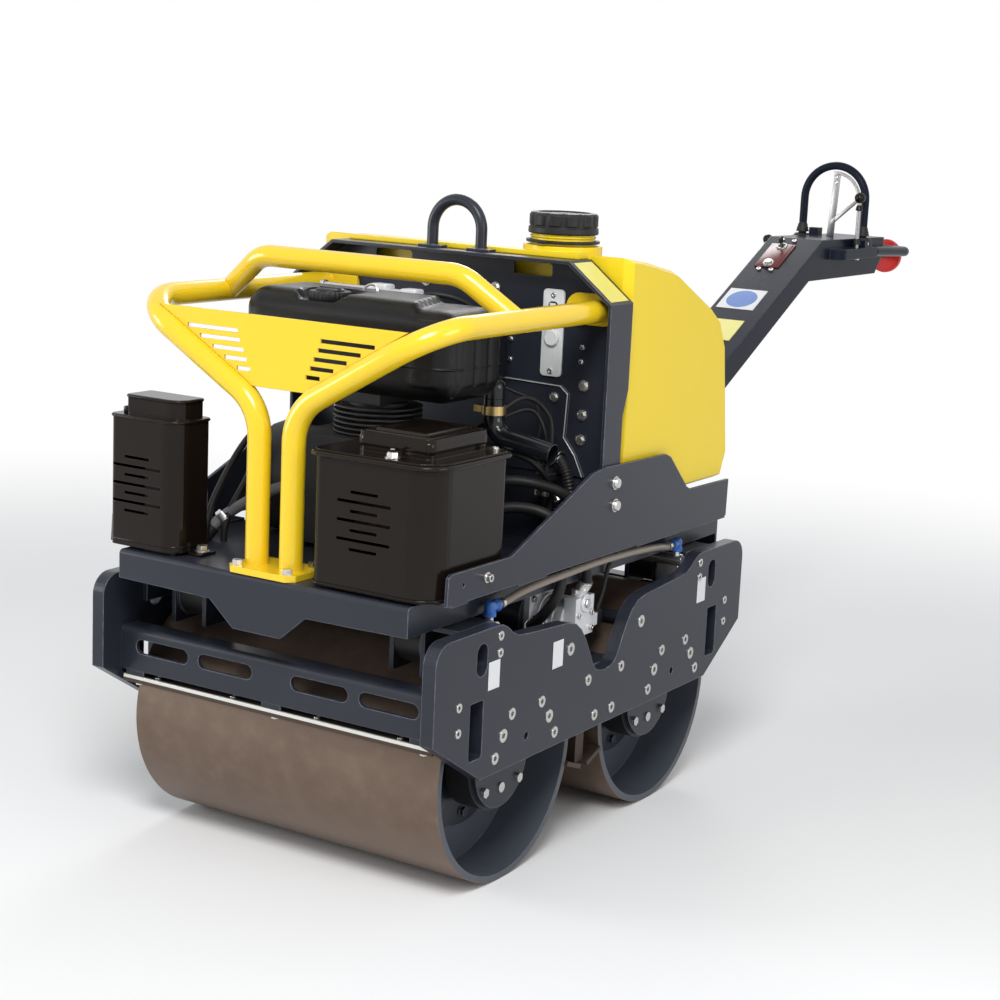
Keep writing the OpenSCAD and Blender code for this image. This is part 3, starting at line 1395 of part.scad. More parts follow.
module hydraulic_pump() color([0.14, 0.14, 0.15]) difference() {
  union() {
    slab_x(block_right, pump_x)
      round_rect(crank_y - pump_half - flange_round, crank_y + pump_half + flange_round,
          crank_h - pump_half, crank_h + pump_half, flange_round);
    block(pump_x - over, pump_x + pump_l, crank_y - pump_half, crank_y + pump_half,
        crank_h - pump_half, crank_h + pump_half);
    for (p = pump_ports) ycyl(pump_port_r, crank_y, pump_port_y, p[0], crank_h + p[1], 32);
  }
  xcyl(crank_r + fit_gap, block_right - over, block_right + shaft_in_pump + over, crank_y, crank_h, 48);
}
port_top = [(motor_end + port_out) / 2, 0, axle_z + exciter_z + port_block_hi + seat_gap];
port_side = [(exciter_right + motor_end) / 2, -motor_r - port_side_y - seat_gap, axle_z + exciter_z];
function pump_port(i) = [pump_ports[i][0], pump_port_y + seat_gap, crank_h + pump_ports[i][1]];
// Hose that leaves both seats squarely
module hose(a, a_dir, mid, b, b_dir, r)
  swept(concat([a], curve(concat([a + hose_lead * a_dir], mid, [b + hose_lead * b_dir]), hose_steps), [b]),
      r, hose_sides);
module hydraulic_hoses() color([0.08, 0.08, 0.09]) {
  hose(port_top, [0, 0, 1], pressure_mid, pump_port(0), [0, 1, 0], hose_r);
  hose(port_side, [0, -1, 0], return_mid, pump_port(1), [0, 1, 0], hose_r);
}
elbow_lo = axle_z + sprinkler_z + elbow_stub_h;
elbow_mid = elbow_lo + elbow_h - elbow_r;
function elbow_end(s) = [elbow_x, s * (sprinkler_y - elbow_reach - seat_gap), elbow_mid];
module water_hoses() color([0.75, 0.68, 0.55])
  hose(elbow_end(-1), [0, 1, 0], water_mid, elbow_end(1), [0, -1, 0], water_hose_r);
module water_elbows() color([0.1, 0.3, 0.75]) both_y() {
  zcyl(elbow_r, elbow_lo, elbow_lo + elbow_h, elbow_x, sprinkler_y, 32);
  ycyl(elbow_r - over, sprinkler_y - elbow_reach, sprinkler_y, elbow_x, elbow_mid, 32);
}

// Tiller
piv_y = deck_half_l + pivot_out;
piv_z = axle_z + pivot_z;
arm_dir = [cos(arm_angle), sin(arm_angle)];
arm_up = [-sin(arm_angle), cos(arm_angle)];
function arm_pt(along, up) = [piv_y, piv_z] + along * arm_dir + up * arm_up;
fold = arm_pt(arm_len, arm_depth / 2);
fold_y = fold[0];
head_z = fold[1];
head_top = head_z - head_drop;
shelf_z = head_z - shelf_drop;
hoop_at = [fold_y + hoop_y, head_z - hoop_pivot_drop];
vib_at = [fold_y + vib_y, head_z - vib_drop];
throttle_at = [fold_y + throttle_y, head_z - throttle_drop];
pad_z = head_z - pad_drop;
head_end = fold_y + head_l;
shelf_end = fold_y + shelf_y[1];
function arm_outline(d, start) = [
  arm_pt(start, arm_depth / 2 - d), [fold_y, head_z - d], [head_end - d, head_top - d],
  [head_end - head_end_slant - d, head_z - head_h + head_end_low],
  [head_end - head_end_in - d, head_z - head_h + d],
  [fold_y - head_low_in, head_z - head_h + d], arm_pt(start, -arm_depth / 2 + d)];
// On the arm: Y along it, Z square to its top
module on_arm() translate([0, piv_y, piv_z]) rotate([arm_angle, 0, 0]) children();
module shelf_outline(d)
  round_rect(-shelf_half_w + d, shelf_half_w - d, fold_y + shelf_y[0] + d, shelf_end - d,
      [shelf_rounds[2] - d, shelf_rounds[3] - d, shelf_rounds[0] - d, shelf_rounds[1] - d]);
module tiller_arm() color(dark_paint) difference() {
  union() {
    difference() {
      union() {
        slab_x(-arm_w / 2, arm_w / 2) polygon(arm_outline(0, 0));
        xcyl(arm_depth / 2 + tube_step, -arm_w / 2, arm_w / 2, piv_y, piv_z, 48);
        translate([0, 0, shelf_z - shelf_lip]) linear_extrude(height = shelf_lip) shelf_outline(0);
        // Boots round the hoop's feet
        both_x() block(arm_w / 2 - over, boot_out, hoop_at[0] - boot_half_y, hoop_at[0] + boot_half_y,
            shelf_z - over, head_top);
        block(switch_x - switch_box[0] / 2, switch_x + switch_box[0] / 2, hoop_at[0] - switch_box[1] / 2,
            hoop_at[0] + switch_box[1] / 2, head_top - over, head_top + switch_box[2]);
      }
      difference() {
        translate([0, 0, shelf_z - shelf_lip - over]) linear_extrude(height = shelf_lip - shelf_t + over)
          shelf_outline(shelf_wall);
        slab_x(-arm_w / 2, arm_w / 2) polygon(arm_outline(0, 0));
      }
      slab_x(-arm_w / 2 + arm_wall, arm_w / 2 - arm_wall) polygon(arm_outline(arm_wall, arm_solid));
    }
    ycyl(sleeve_r, head_end - sleeve_in, head_end + sleeve_out, 0, pad_z, 48);
  }
  xcyl(pin_r + fit_gap, -arm_w / 2 - over, arm_w / 2 + over, piv_y, piv_z, 48);
  // Slot for the foot of the hoop's blade
  block(blade_foot_x - blade_slot[0] / 2, blade_foot_x + blade_slot[0] / 2,
      hoop_at[0] - blade_slot[1] / 2, hoop_at[0] + blade_slot[1] / 2,
      head_top - arm_wall - head_drop, head_z + over);
  ycyl(pad_rod_r + fit_gap, head_end - sleeve_in - over, head_end + sleeve_out + over, 0, pad_z, 32);
  both_x() {
    block(arm_w / 2 + over, boot_out - boot_wall, hoop_at[0] - boot_slot_y, hoop_at[0] + boot_slot_y,
        shelf_z + over / 2, head_top + over);
    xcyl(hoop_pin_r + fit_gap, arm_w / 2 - arm_wall - over, boot_out + over, hoop_at[0], hoop_at[1], 32);
  }
  // Slot and hole for the vibration lever
  block(vib_x - vib_slot[1] / 2, vib_x + vib_slot[1] / 2, vib_at[0] - vib_slot[0] / 2,
      vib_at[0] + vib_slot[0] / 2, shelf_z - shelf_t - over, shelf_z + over);
  xcyl(vib_pin_r + fit_gap, arm_w / 2 - arm_wall - over, arm_w / 2 + over, vib_at[0], vib_at[1], 24);
  xcyl(throttle_pin_r + fit_gap, -arm_w / 2 - over, -arm_w / 2 + arm_wall + over,
      throttle_at[0], throttle_at[1], 24);
  on_arm() for (b = [key_back, button_back])
    zcyl(key_r + over, arm_depth / 2 - arm_wall - over, arm_depth / 2 + over, panel_x, arm_len - b, 32);
}
module tiller_bracket() color(dark_paint) {
  ear_out = arm_w / 2 + ear_gap + ear_t;
  difference() {
    union() {
      block(-ear_out, ear_out, deck_half_l, deck_half_l + bracket_back_t, deck_z - bracket_back_h, deck_z);
      both_x() slab_x(ear_out - ear_t, ear_out) hull() {
        translate([piv_y, piv_z]) circle(r = ear_r, $fn = 64);
        translate([deck_half_l + bracket_back_t / 2, deck_z - bracket_back_h])
          square([bracket_back_t / 2, bracket_back_h]);
      }
    }
    xcyl(pin_r + fit_gap, -ear_out - over, ear_out + over, piv_y, piv_z, 48);
  }
}
module tiller_pin() color(zinc) {
  ear_out = arm_w / 2 + ear_gap + ear_t;
  xcyl(pin_r, -ear_out - pin_head_t, ear_out + pin_head_t, piv_y, piv_z, 48);
  both_x() xcyl(pin_head_r, ear_out + seat_gap, ear_out + pin_head_t, piv_y, piv_z, 48);
}
module handle_bar() color(dark_paint) {
  bar_end = head_end + bar_reach;
  foot_y = shelf_end + bar_foot_gap;
  bent_tube([[bar_half_w, foot_y, head_z - bar_start_drop], [bar_half_w, bar_end, head_z - bar_end_drop],
      [-bar_half_w, bar_end, head_z - bar_end_drop],
      [-bar_half_w, foot_y, head_z - bar_start_drop]], bar_r, bar_bend_r);
}
module travel_hoop() color(dark_paint) {
  arch_z = hoop_at[1] + hoop_h - hoop_half_w;
  y = hoop_at[0];
  both_x() {
    zcyl(hoop_r, hoop_at[1], arch_z + tube_lap, hoop_half_w, y, 32);
    xcyl(hoop_foot_r, hoop_half_w - hoop_foot_r, hoop_half_w + hoop_foot_r, y, hoop_at[1], 32);
    xcyl(hoop_pin_r, arm_w / 2 - hoop_pin_in, boot_out - over, y, hoop_at[1], 32);
  }
  translate([0, y, arch_z]) rotate([90, 0, 0]) {
    rotate_extrude(angle = 180, $fn = 96)
      translate([hoop_half_w, 0]) circle(r = hoop_r + tube_step, $fn = 32);
    // Strip under the arch
    rotate_extrude(angle = strip_angle, $fn = 96)
      translate([strip_in, -blade_t / 2]) square([hoop_half_w - hoop_r / 2 - strip_in, blade_t]);
  }
  blade_foot_z = head_top - blade_foot_drop;
  slab_y(y - blade_t / 2, y + blade_t / 2) {
    polygon([[blade_foot_x - blade_w / 2, blade_foot_z], [blade_foot_x + blade_w / 2, blade_foot_z],
        [blade_top_x + blade_w / 2, arch_z + strip_in + over],
        [blade_top_x - blade_w / 2, arch_z + strip_in + over]]);
    polygon([[blade_foot_x, blade_foot_z + brace_foot_h - brace_w], [brace_end_x, arch_z - brace_w / 2],
        [brace_end_x + over, arch_z + brace_w / 2],
        [blade_foot_x, blade_foot_z + brace_foot_h + brace_w / 2]]);
  }
}
module vibration_lever() color(zinc) {
  ball = [vib_x, vib_at[0], vib_at[1] + vib_h];
  rod([vib_x, vib_at[0], vib_at[1]], ball, vib_r, 24);
  translate(ball) sphere(r = vib_ball_r, $fn = 32);
  xcyl(vib_hub_r, vib_hub_x0, vib_hub_x1, vib_at[0], vib_at[1], 32);
  xcyl(vib_pin_r, arm_w / 2 - hoop_pin_in, vib_hub_x0 + over, vib_at[0], vib_at[1], 24);
}
module throttle_lever() color(zinc) {
  x = -arm_w / 2 - throttle_out;
  knob = [x, throttle_at[0] + throttle_l * cos(throttle_angle),
      throttle_at[1] + throttle_l * sin(throttle_angle)];
  rod([x, throttle_at[0], throttle_at[1]], knob, throttle_r, 24);
  translate(knob) sphere(r = knob_r, $fn = 32);
  xcyl(throttle_hub_r, x - throttle_hub_l / 2, x + throttle_hub_l / 2, throttle_at[0], throttle_at[1], 32);
  xcyl(throttle_pin_r, x, -arm_w / 2 + hoop_pin_in, throttle_at[0], throttle_at[1], 24);
}
module stop_pad() color(red_plastic) {
  y0 = head_end + pad_y;
  ycyl(pad_rod_r, head_end - pad_rod_in, y0 + over, 0, pad_z, 32);
  ycyl(pad_r, y0, y0 + pad_t, 0, pad_z, 64);
  ycyl(pad_r - pad_edge, y0, y0 + pad_t + pad_edge, 0, pad_z, 64);
}
module control_panel() on_arm() {
  z = arm_depth / 2;
  y1 = arm_len - panel_back;
  color(red_plastic) difference() {
    union() {
      block(panel_x - panel_w / 2, panel_x + panel_w / 2, y1 - panel_l, y1, z, z + panel_t);
      for (b = [key_back, button_back])
        zcyl(ring_r, z, z + panel_t + ring_h, panel_x, arm_len - b, 32);
    }
    for (b = [key_back, button_back])
      zcyl(key_r + fit_gap, z - over, z + panel_t + ring_h + over, panel_x, arm_len - b, 32);
  }
  color(zinc) for (p = panel_screws)
    zcyl(panel_screw_r, z, z + panel_screw_h, p[0], arm_len - p[1], 32);
}
module key_switch() color(zinc) on_arm() {
  z = arm_depth / 2;
  top = z + panel_t + ring_h + key_out;
  zcyl(key_r, z - key_in, top, panel_x, arm_len - key_back, 32);
  block(panel_x - key_grip[0] / 2, panel_x + key_grip[0] / 2, arm_len - key_back - key_grip[1] / 2,
      arm_len - key_back + key_grip[1] / 2, top - over, top + key_grip[2]);
}
module start_button() color(zinc) on_arm()
  zcyl(key_r, arm_depth / 2 - key_in, arm_depth / 2 + panel_t + ring_h + button_out, panel_x,
      arm_len - button_back, 32);

side_plate_right();
side_plate_left();
front_beam();
rear_beam();
centre_crossmember();
outer_scrapers();
inner_scrapers();
lower_frame_bolts();
axle_carriers();
bearing_housings();
travel_motors();
bearings();
exciter_housing();
exciter_motor();
exciter_shaft();
buffer_brackets();
rubber_buffers();
sprinkler_bars();
front_drum();
front_drum_hubs();
rear_drum();
rear_drum_hubs();
deck_frame();
side_skirts();
frame_bolts();
guard_frame();
guard_infill();
support_frame();
level_gauge();
lifting_eye();
water_tank();
water_cap();
engine_block();
engine_cowl();
crankshaft();
fuel_tank();
fuel_cap();
air_filter();
muffler();
right_guard();
right_guard_lid();
left_guard();
battery();
breather_pipe();
hose_clamp();
hydraulic_pump();
hydraulic_hoses();
water_hoses();
water_elbows();
tiller_bracket();
tiller_pin();
tiller_arm();
handle_bar();
travel_hoop();
vibration_lever();
throttle_lever();
stop_pad();
control_panel();
key_switch();
start_button();
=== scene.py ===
import math

import bmesh
import bpy
from mathutils import Matrix, Vector


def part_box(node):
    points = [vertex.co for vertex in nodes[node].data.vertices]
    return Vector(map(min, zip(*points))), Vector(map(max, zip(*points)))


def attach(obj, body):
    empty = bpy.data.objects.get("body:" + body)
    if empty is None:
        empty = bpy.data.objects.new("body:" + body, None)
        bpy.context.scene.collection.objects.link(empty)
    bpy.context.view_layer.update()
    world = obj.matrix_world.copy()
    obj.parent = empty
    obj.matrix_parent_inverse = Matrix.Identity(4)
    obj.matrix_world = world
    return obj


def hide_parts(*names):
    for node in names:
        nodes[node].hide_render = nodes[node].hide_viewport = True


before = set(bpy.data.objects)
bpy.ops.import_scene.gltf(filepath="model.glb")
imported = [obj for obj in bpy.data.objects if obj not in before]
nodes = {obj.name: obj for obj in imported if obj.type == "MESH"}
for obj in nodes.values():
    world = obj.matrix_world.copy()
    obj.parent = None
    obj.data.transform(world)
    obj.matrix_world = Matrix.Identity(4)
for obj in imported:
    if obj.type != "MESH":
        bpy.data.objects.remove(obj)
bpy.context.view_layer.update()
mm = 0.001
print("frame loaded:", len(nodes), "nodes")


# small tools for objects and shader nodes
def addObject(name, data):
    added = bpy.data.objects.new(name, data)
    bpy.context.scene.collection.objects.link(added)
    return added


def axesMatrix(x, y, z, place):
    # turns the three axes to x, y and z, and moves the origin to place
    return Matrix([[axis[i] for axis in (x, y, z, place)] for i in range(3)] + [[0, 0, 0, 1]])


def feed(tree, socket, value):
    if isinstance(value, bpy.types.NodeSocket):
        tree.links.new(value, socket)
    else:
        socket.default_value = value


def addNode(tree, kind, inputs=None, **settings):
    node = tree.nodes.new("ShaderNode" + kind)
    for name, value in settings.items():
        setattr(node, name, value)
    for label, value in (inputs or {}).items():
        feed(tree, node.inputs[label], value)
    return node


def mathNode(tree, operation, a, b=0.5, clamp=False):
    return addNode(tree, "Math", {0: a, 1: b}, operation=operation, use_clamp=clamp).outputs[0]


def noiseNode(tree, vector, scale, detail=4.0, rough=0.55):
    inputs = {"Vector": vector, "Scale": scale, "Detail": detail, "Roughness": rough}
    return addNode(tree, "TexNoise", inputs).outputs["Fac"]


def groupNode(tree, group, **inputs):
    # a shared effect, worked out from the place in the object
    inputs["Position"] = addNode(tree, "TexCoord").outputs["Object"]
    return addNode(tree, "Group", inputs, node_tree=group).outputs


def mixColours(tree, mask, a, b):
    a, b = (value if isinstance(value, bpy.types.NodeSocket) else (*value, 1) for value in (a, b))
    return addNode(tree, "Mix", {0: mask, 6: a, 7: b}, data_type="RGBA").outputs[2]


def newMaterial(name):
    material = bpy.data.materials.new(name)
    material.use_nodes = True
    return material, material.node_tree


# camera, fitted to the photograph
cameraFit = {"azimuth": 31.906, "elevation": 11.201, "roll": 2.621, "distance": 3.78427,
             "focalPixels": 2031.32, "picturePixels": 1000, "sensor": 36.0, "sideways": 0.105354,
             "height": 0.586514, "clip": (0.05, 100)}


def placeCamera():
    az, el, roll = (math.radians(cameraFit[k]) for k in ("azimuth", "elevation", "roll"))
    back = Vector((math.sin(az) * math.cos(el), -math.cos(az) * math.cos(el), math.sin(el)))
    level = Vector((math.cos(az), math.sin(az), 0))
    up = back.cross(level)
    right = math.cos(roll) * level + math.sin(roll) * up
    rolledUp = math.cos(roll) * up - math.sin(roll) * level
    target = cameraFit["sideways"] * level + Vector((0, 0, cameraFit["height"]))
    data = bpy.data.cameras.new("camera")
    data.sensor_width = cameraFit["sensor"]
    data.lens = cameraFit["focalPixels"] * cameraFit["sensor"] / cameraFit["picturePixels"]
    data.clip_start, data.clip_end = cameraFit["clip"]
    camera = addObject("camera", data)
    camera.matrix_world = axesMatrix(right, rolledUp, back, target + back * cameraFit["distance"])
    bpy.context.scene.camera = camera


# light and floor
studio = {
    "worldColour": (0.93, 0.96, 1, 1),
    "worldLevel": 0.42,
    "lampSize": 1.6,
    "lamps": [  # place, aimed at, watts
        ((1.5, -2.6, 3.4), (0.1, 0.0, 0.5), 118),
        ((-3.1, -2.3, 1.15), (0.0, 0.0, 0.5), 50),
        ((3.4, -0.5, 1.5), (0.2, 0.1, 0.5), 24),
        ((-1.6, 3.4, 2.8), (0.0, 0.5, 0.7), 36),
    ],
    "floorColour": (0.86, 0.86, 0.86, 1),
    "floorHalf": 30,
    "fadeFrom": 1.6,
    "fadeTo": 4.0,
}


def seenDirectly(tree):
    # 1 for what the camera sees straight, in a mirror or through glass
    rays = addNode(tree, "LightPath").outputs
    mirrored = mathNode(tree, "MAXIMUM", rays["Is Camera Ray"], rays["Is Glossy Ray"])
    return mathNode(tree, "MAXIMUM", mirrored, rays["Is Transmission Ray"])


def mixToOutput(tree, mask, first, second, output):
    mixed = addNode(tree, "MixShader", {0: mask, 1: first.outputs[0], 2: second.outputs[0]})
    addNode(tree, output, {0: mixed.outputs[0]})


def lightStudio():
    world = bpy.data.worlds.new("studio")
    bpy.context.scene.world = world
    world.use_nodes = True
    tree = world.node_tree
    tree.nodes.clear()
    lit = addNode(tree, "Background", {"Color": studio["worldColour"], "Strength": studio["worldLevel"]})
    shown = addNode(tree, "Background", {"Color": (1, 1, 1, 1), "Strength": 1})
    mixToOutput(tree, seenDirectly(tree), lit, shown, "OutputWorld")
    for n, (place, aim, watts) in enumerate(studio["lamps"]):
        data = bpy.data.lights.new("lamp%d" % n, "AREA")
        data.shape, data.size, data.energy = "DISK", studio["lampSize"], watts
        lamp = addObject("lamp%d" % n, data)
        lamp.location = place
        lamp.rotation_euler = (Vector(aim) - Vector(place)).to_track_quat("-Z", "Y").to_euler()


def layFloor():
    # pale floor that fades to white away from the machine
    shape = bmesh.new()
    bmesh.ops.create_grid(shape, x_segments=4, y_segments=4, size=studio["floorHalf"])
    mesh = bpy.data.meshes.new("floor")
    shape.to_mesh(mesh)
    shape.free()
    floor = addObject("floor", mesh)
    material, tree = newMaterial("floor")
    tree.nodes.clear()
    place = addNode(tree, "TexCoord").outputs["Object"]
    reach = addNode(tree, "VectorMath", {0: place}, operation="LENGTH")
    fade = addNode(tree, "MapRange", {"Value": reach.outputs["Value"], "From Min": studio["fadeFrom"],
                                      "From Max": studio["fadeTo"]}, interpolation_type="SMOOTHSTEP")
    mask = mathNode(tree, "MULTIPLY", fade.outputs["Result"], seenDirectly(tree))
    matt = addNode(tree, "BsdfDiffuse", {"Color": studio["floorColour"]})
    mixToOutput(tree, mask, matt, addNode(tree, "Emission"), "OutputMaterial")
    mesh.materials.append(material)


placeCamera()
lightStudio()
layFloor()
bpy.context.scene.view_settings.view_transform = "Standard"
print("camera, lamps and floor placed")


# shared effects, as node groups
def newGroup(name, inputs, outputs):
    # inputs are numbers with their defaults, or None for a vector
    group = bpy.data.node_groups.new(name, "ShaderNodeTree")
    for label, value in inputs.items():
        kind = "NodeSocketFloat" if isinstance(value, float) else "NodeSocketVector"
        socket = group.interface.new_socket(label, in_out="INPUT", socket_type=kind)
        if value is not None:
            socket.default_value = value
    for label in outputs:
        kind = "NodeSocketVector" if label == "Normal" else "NodeSocketFloat"
        group.interface.new_socket(label, in_out="OUTPUT", socket_type=kind)
    return group, group.nodes.new("NodeGroupInput").outputs, group.nodes.new("NodeGroupOutput").inputs


edgeEffect = {"samples": 6, "gain": 5.0, "patchPower": 1.6}
dustEffect = {"least": 0.12, "patches": (0.42, 0.78)}


def buildEdgeGroup():
    # rounds an edge's shading and finds where paint rubs off it; with a pale colour the same mask is a
    # painted highlight along the edges
    group, given, result = newGroup(
        "edgeWearAndHighlight", {"Radius": 0.002, "Amount": 0.5, "Scale": 60.0, "Position": None}, ("Mask", "Normal"))
    bevel = addNode(group, "Bevel", {"Radius": given["Radius"]}, samples=edgeEffect["samples"])
    rounded = bevel.outputs["Normal"]
    flat = addNode(group, "NewGeometry").outputs["Normal"]
    alike = addNode(group, "VectorMath", {0: rounded, 1: flat}, operation="DOT_PRODUCT").outputs["Value"]
    strong = mathNode(group, "MULTIPLY", mathNode(group, "SUBTRACT", 1.0, alike), edgeEffect["gain"])
    patchy = mathNode(group, "POWER", noiseNode(group, given["Position"], given["Scale"]),
                      edgeEffect["patchPower"])
    rubbedAndHighlit = mathNode(group, "MULTIPLY", strong, patchy)
    feed(group, result["Mask"], mathNode(group, "MULTIPLY", rubbedAndHighlit, given["Amount"], clamp=True))
    feed(group, result["Normal"], rounded)
    return group


def buildDustGroup():
    # pale dust, mostly on faces that look up
    group, given, result = newGroup(
        "settledDust", {"Amount": 0.3, "Scale": 14.0, "Position": None}, ("Mask",))
    facing = addNode(group, "SeparateXYZ", {0: addNode(group, "NewGeometry").outputs["Normal"]})
    upward = mathNode(group, "MAXIMUM", facing.outputs["Z"], dustEffect["least"])
    cloud = noiseNode(group, given["Position"], given["Scale"], 6.0, 0.65)
    low, high = dustEffect["patches"]
    patches = addNode(group, "MapRange", {"Value": cloud, "From Min": low, "From Max": high})
    both = mathNode(group, "MULTIPLY", upward, patches.outputs["Result"])
    feed(group, result["Mask"], mathNode(group, "MULTIPLY", both, given["Amount"], clamp=True))
    return group


def buildSkinGroup():
    # the fine skin of a finish: height for bump, and a slow change for gloss
    group, given, result = newGroup(
        "fineSkin", {"Grain": 400.0, "Streak": None, "Cloud": 6.0, "Position": None}, ("Height", "Change"))
    stretched = addNode(group, "VectorMath", {0: given["Position"], 1: given["Streak"]},
                        operation="MULTIPLY").outputs["Vector"]
    feed(group, result["Height"], noiseNode(group, stretched, given["Grain"], 3.0))
    feed(group, result["Change"], noiseNode(group, stretched, given["Cloud"], 5.0, 0.6))
    return group


def buildRadiusGroup():
    # 1 beyond a distance from a wheel's axis, for a drum that is bare outside and painted inside
    group, given, result = newGroup(
        "axleDistance", {"AxleY": 0.0, "AxleZ": 0.0, "Limit": 0.2, "Position": None}, ("Mask",))
    parts = addNode(group, "SeparateXYZ", {0: given["Position"]}).outputs
    y = mathNode(group, "SUBTRACT", parts["Y"], given["AxleY"])
    z = mathNode(group, "SUBTRACT", parts["Z"], given["AxleZ"])
    square = mathNode(group, "ADD", mathNode(group, "MULTIPLY", y, y), mathNode(group, "MULTIPLY", z, z))
    outside = mathNode(group, "GREATER_THAN", mathNode(group, "SQRT", square), given["Limit"])
    feed(group, result["Mask"], outside)
    return group


edgeGroup = buildEdgeGroup()
dustGroup = buildDustGroup()
skinGroup = buildSkinGroup()
radiusGroup = buildRadiusGroup()


# finishes
def setShader(tree, height, edge, look, inputs):
    # bump over the rounded edges, then the shader's own inputs
    bump = addNode(tree, "Bump", {"Strength": look["bump"], "Distance": look["bumpDepth"],
                                  "Height": height, "Normal": edge["Normal"]})
    inputs = {**inputs, "Normal": bump.outputs["Normal"], "Specular IOR Level": look["specular"]}
    for label, value in inputs.items():
        feed(tree, tree.nodes["Principled BSDF"].inputs[label], value)


plainFinish = {
    "colour": (0.05, 0.05, 0.05), "shade": 0.8, "cloud": 5.0, "metallic": 0.0, "roughness": 0.4,
    "glossSpread": 0.1, "specular": 0.4, "coat": 0.0, "coatRoughness": 0.1, "grain": 500.0,
    "bump": 0.04, "bumpDepth": 0.0004, "streak": (1, 1, 1), "edge": 0.0015, "wearAndHighlight": 0.3,
    "wearAndHighlightColour": (0.3, 0.3, 0.3), "edgePatchScale": 60.0, "dust": 0.15, "dustColour": (0.35, 0.31, 0.27),
    "dustDulls": 0.35,
}


def makeFinish(name, changes):
    look = {**plainFinish, **changes}
    material, tree = newMaterial(name)
    skin = groupNode(tree, skinGroup, Grain=look["grain"], Streak=look["streak"], Cloud=look["cloud"])
    edge = groupNode(tree, edgeGroup, Radius=look["edge"], Amount=look["wearAndHighlight"], Scale=look["edgePatchScale"])
    dust = groupNode(tree, dustGroup, Amount=look["dust"])["Mask"]
    dark = [c * look["shade"] for c in look["colour"]]
    body = mixColours(tree, skin["Change"], dark, look["colour"])
    # edges take the edge colour: worn paint, and on the dark paint a painted highlight
    wornAndHighlit = mixColours(tree, edge["Mask"], body, look["wearAndHighlightColour"])
    gloss = mathNode(tree, "MULTIPLY", skin["Change"], look["glossSpread"])
    rough = mathNode(tree, "ADD", gloss, look["roughness"] - look["glossSpread"] / 2)
    dull = mathNode(tree, "MULTIPLY", dust, look["dustDulls"])
    setShader(tree, skin["Height"], edge, look, {
        "Base Color": mixColours(tree, dust, wornAndHighlit, look["dustColour"]),
        "Roughness": mathNode(tree, "ADD", rough, dull, clamp=True),
        "Metallic": look["metallic"], "Coat Weight": look["coat"], "Coat Roughness": look["coatRoughness"]})
    return material


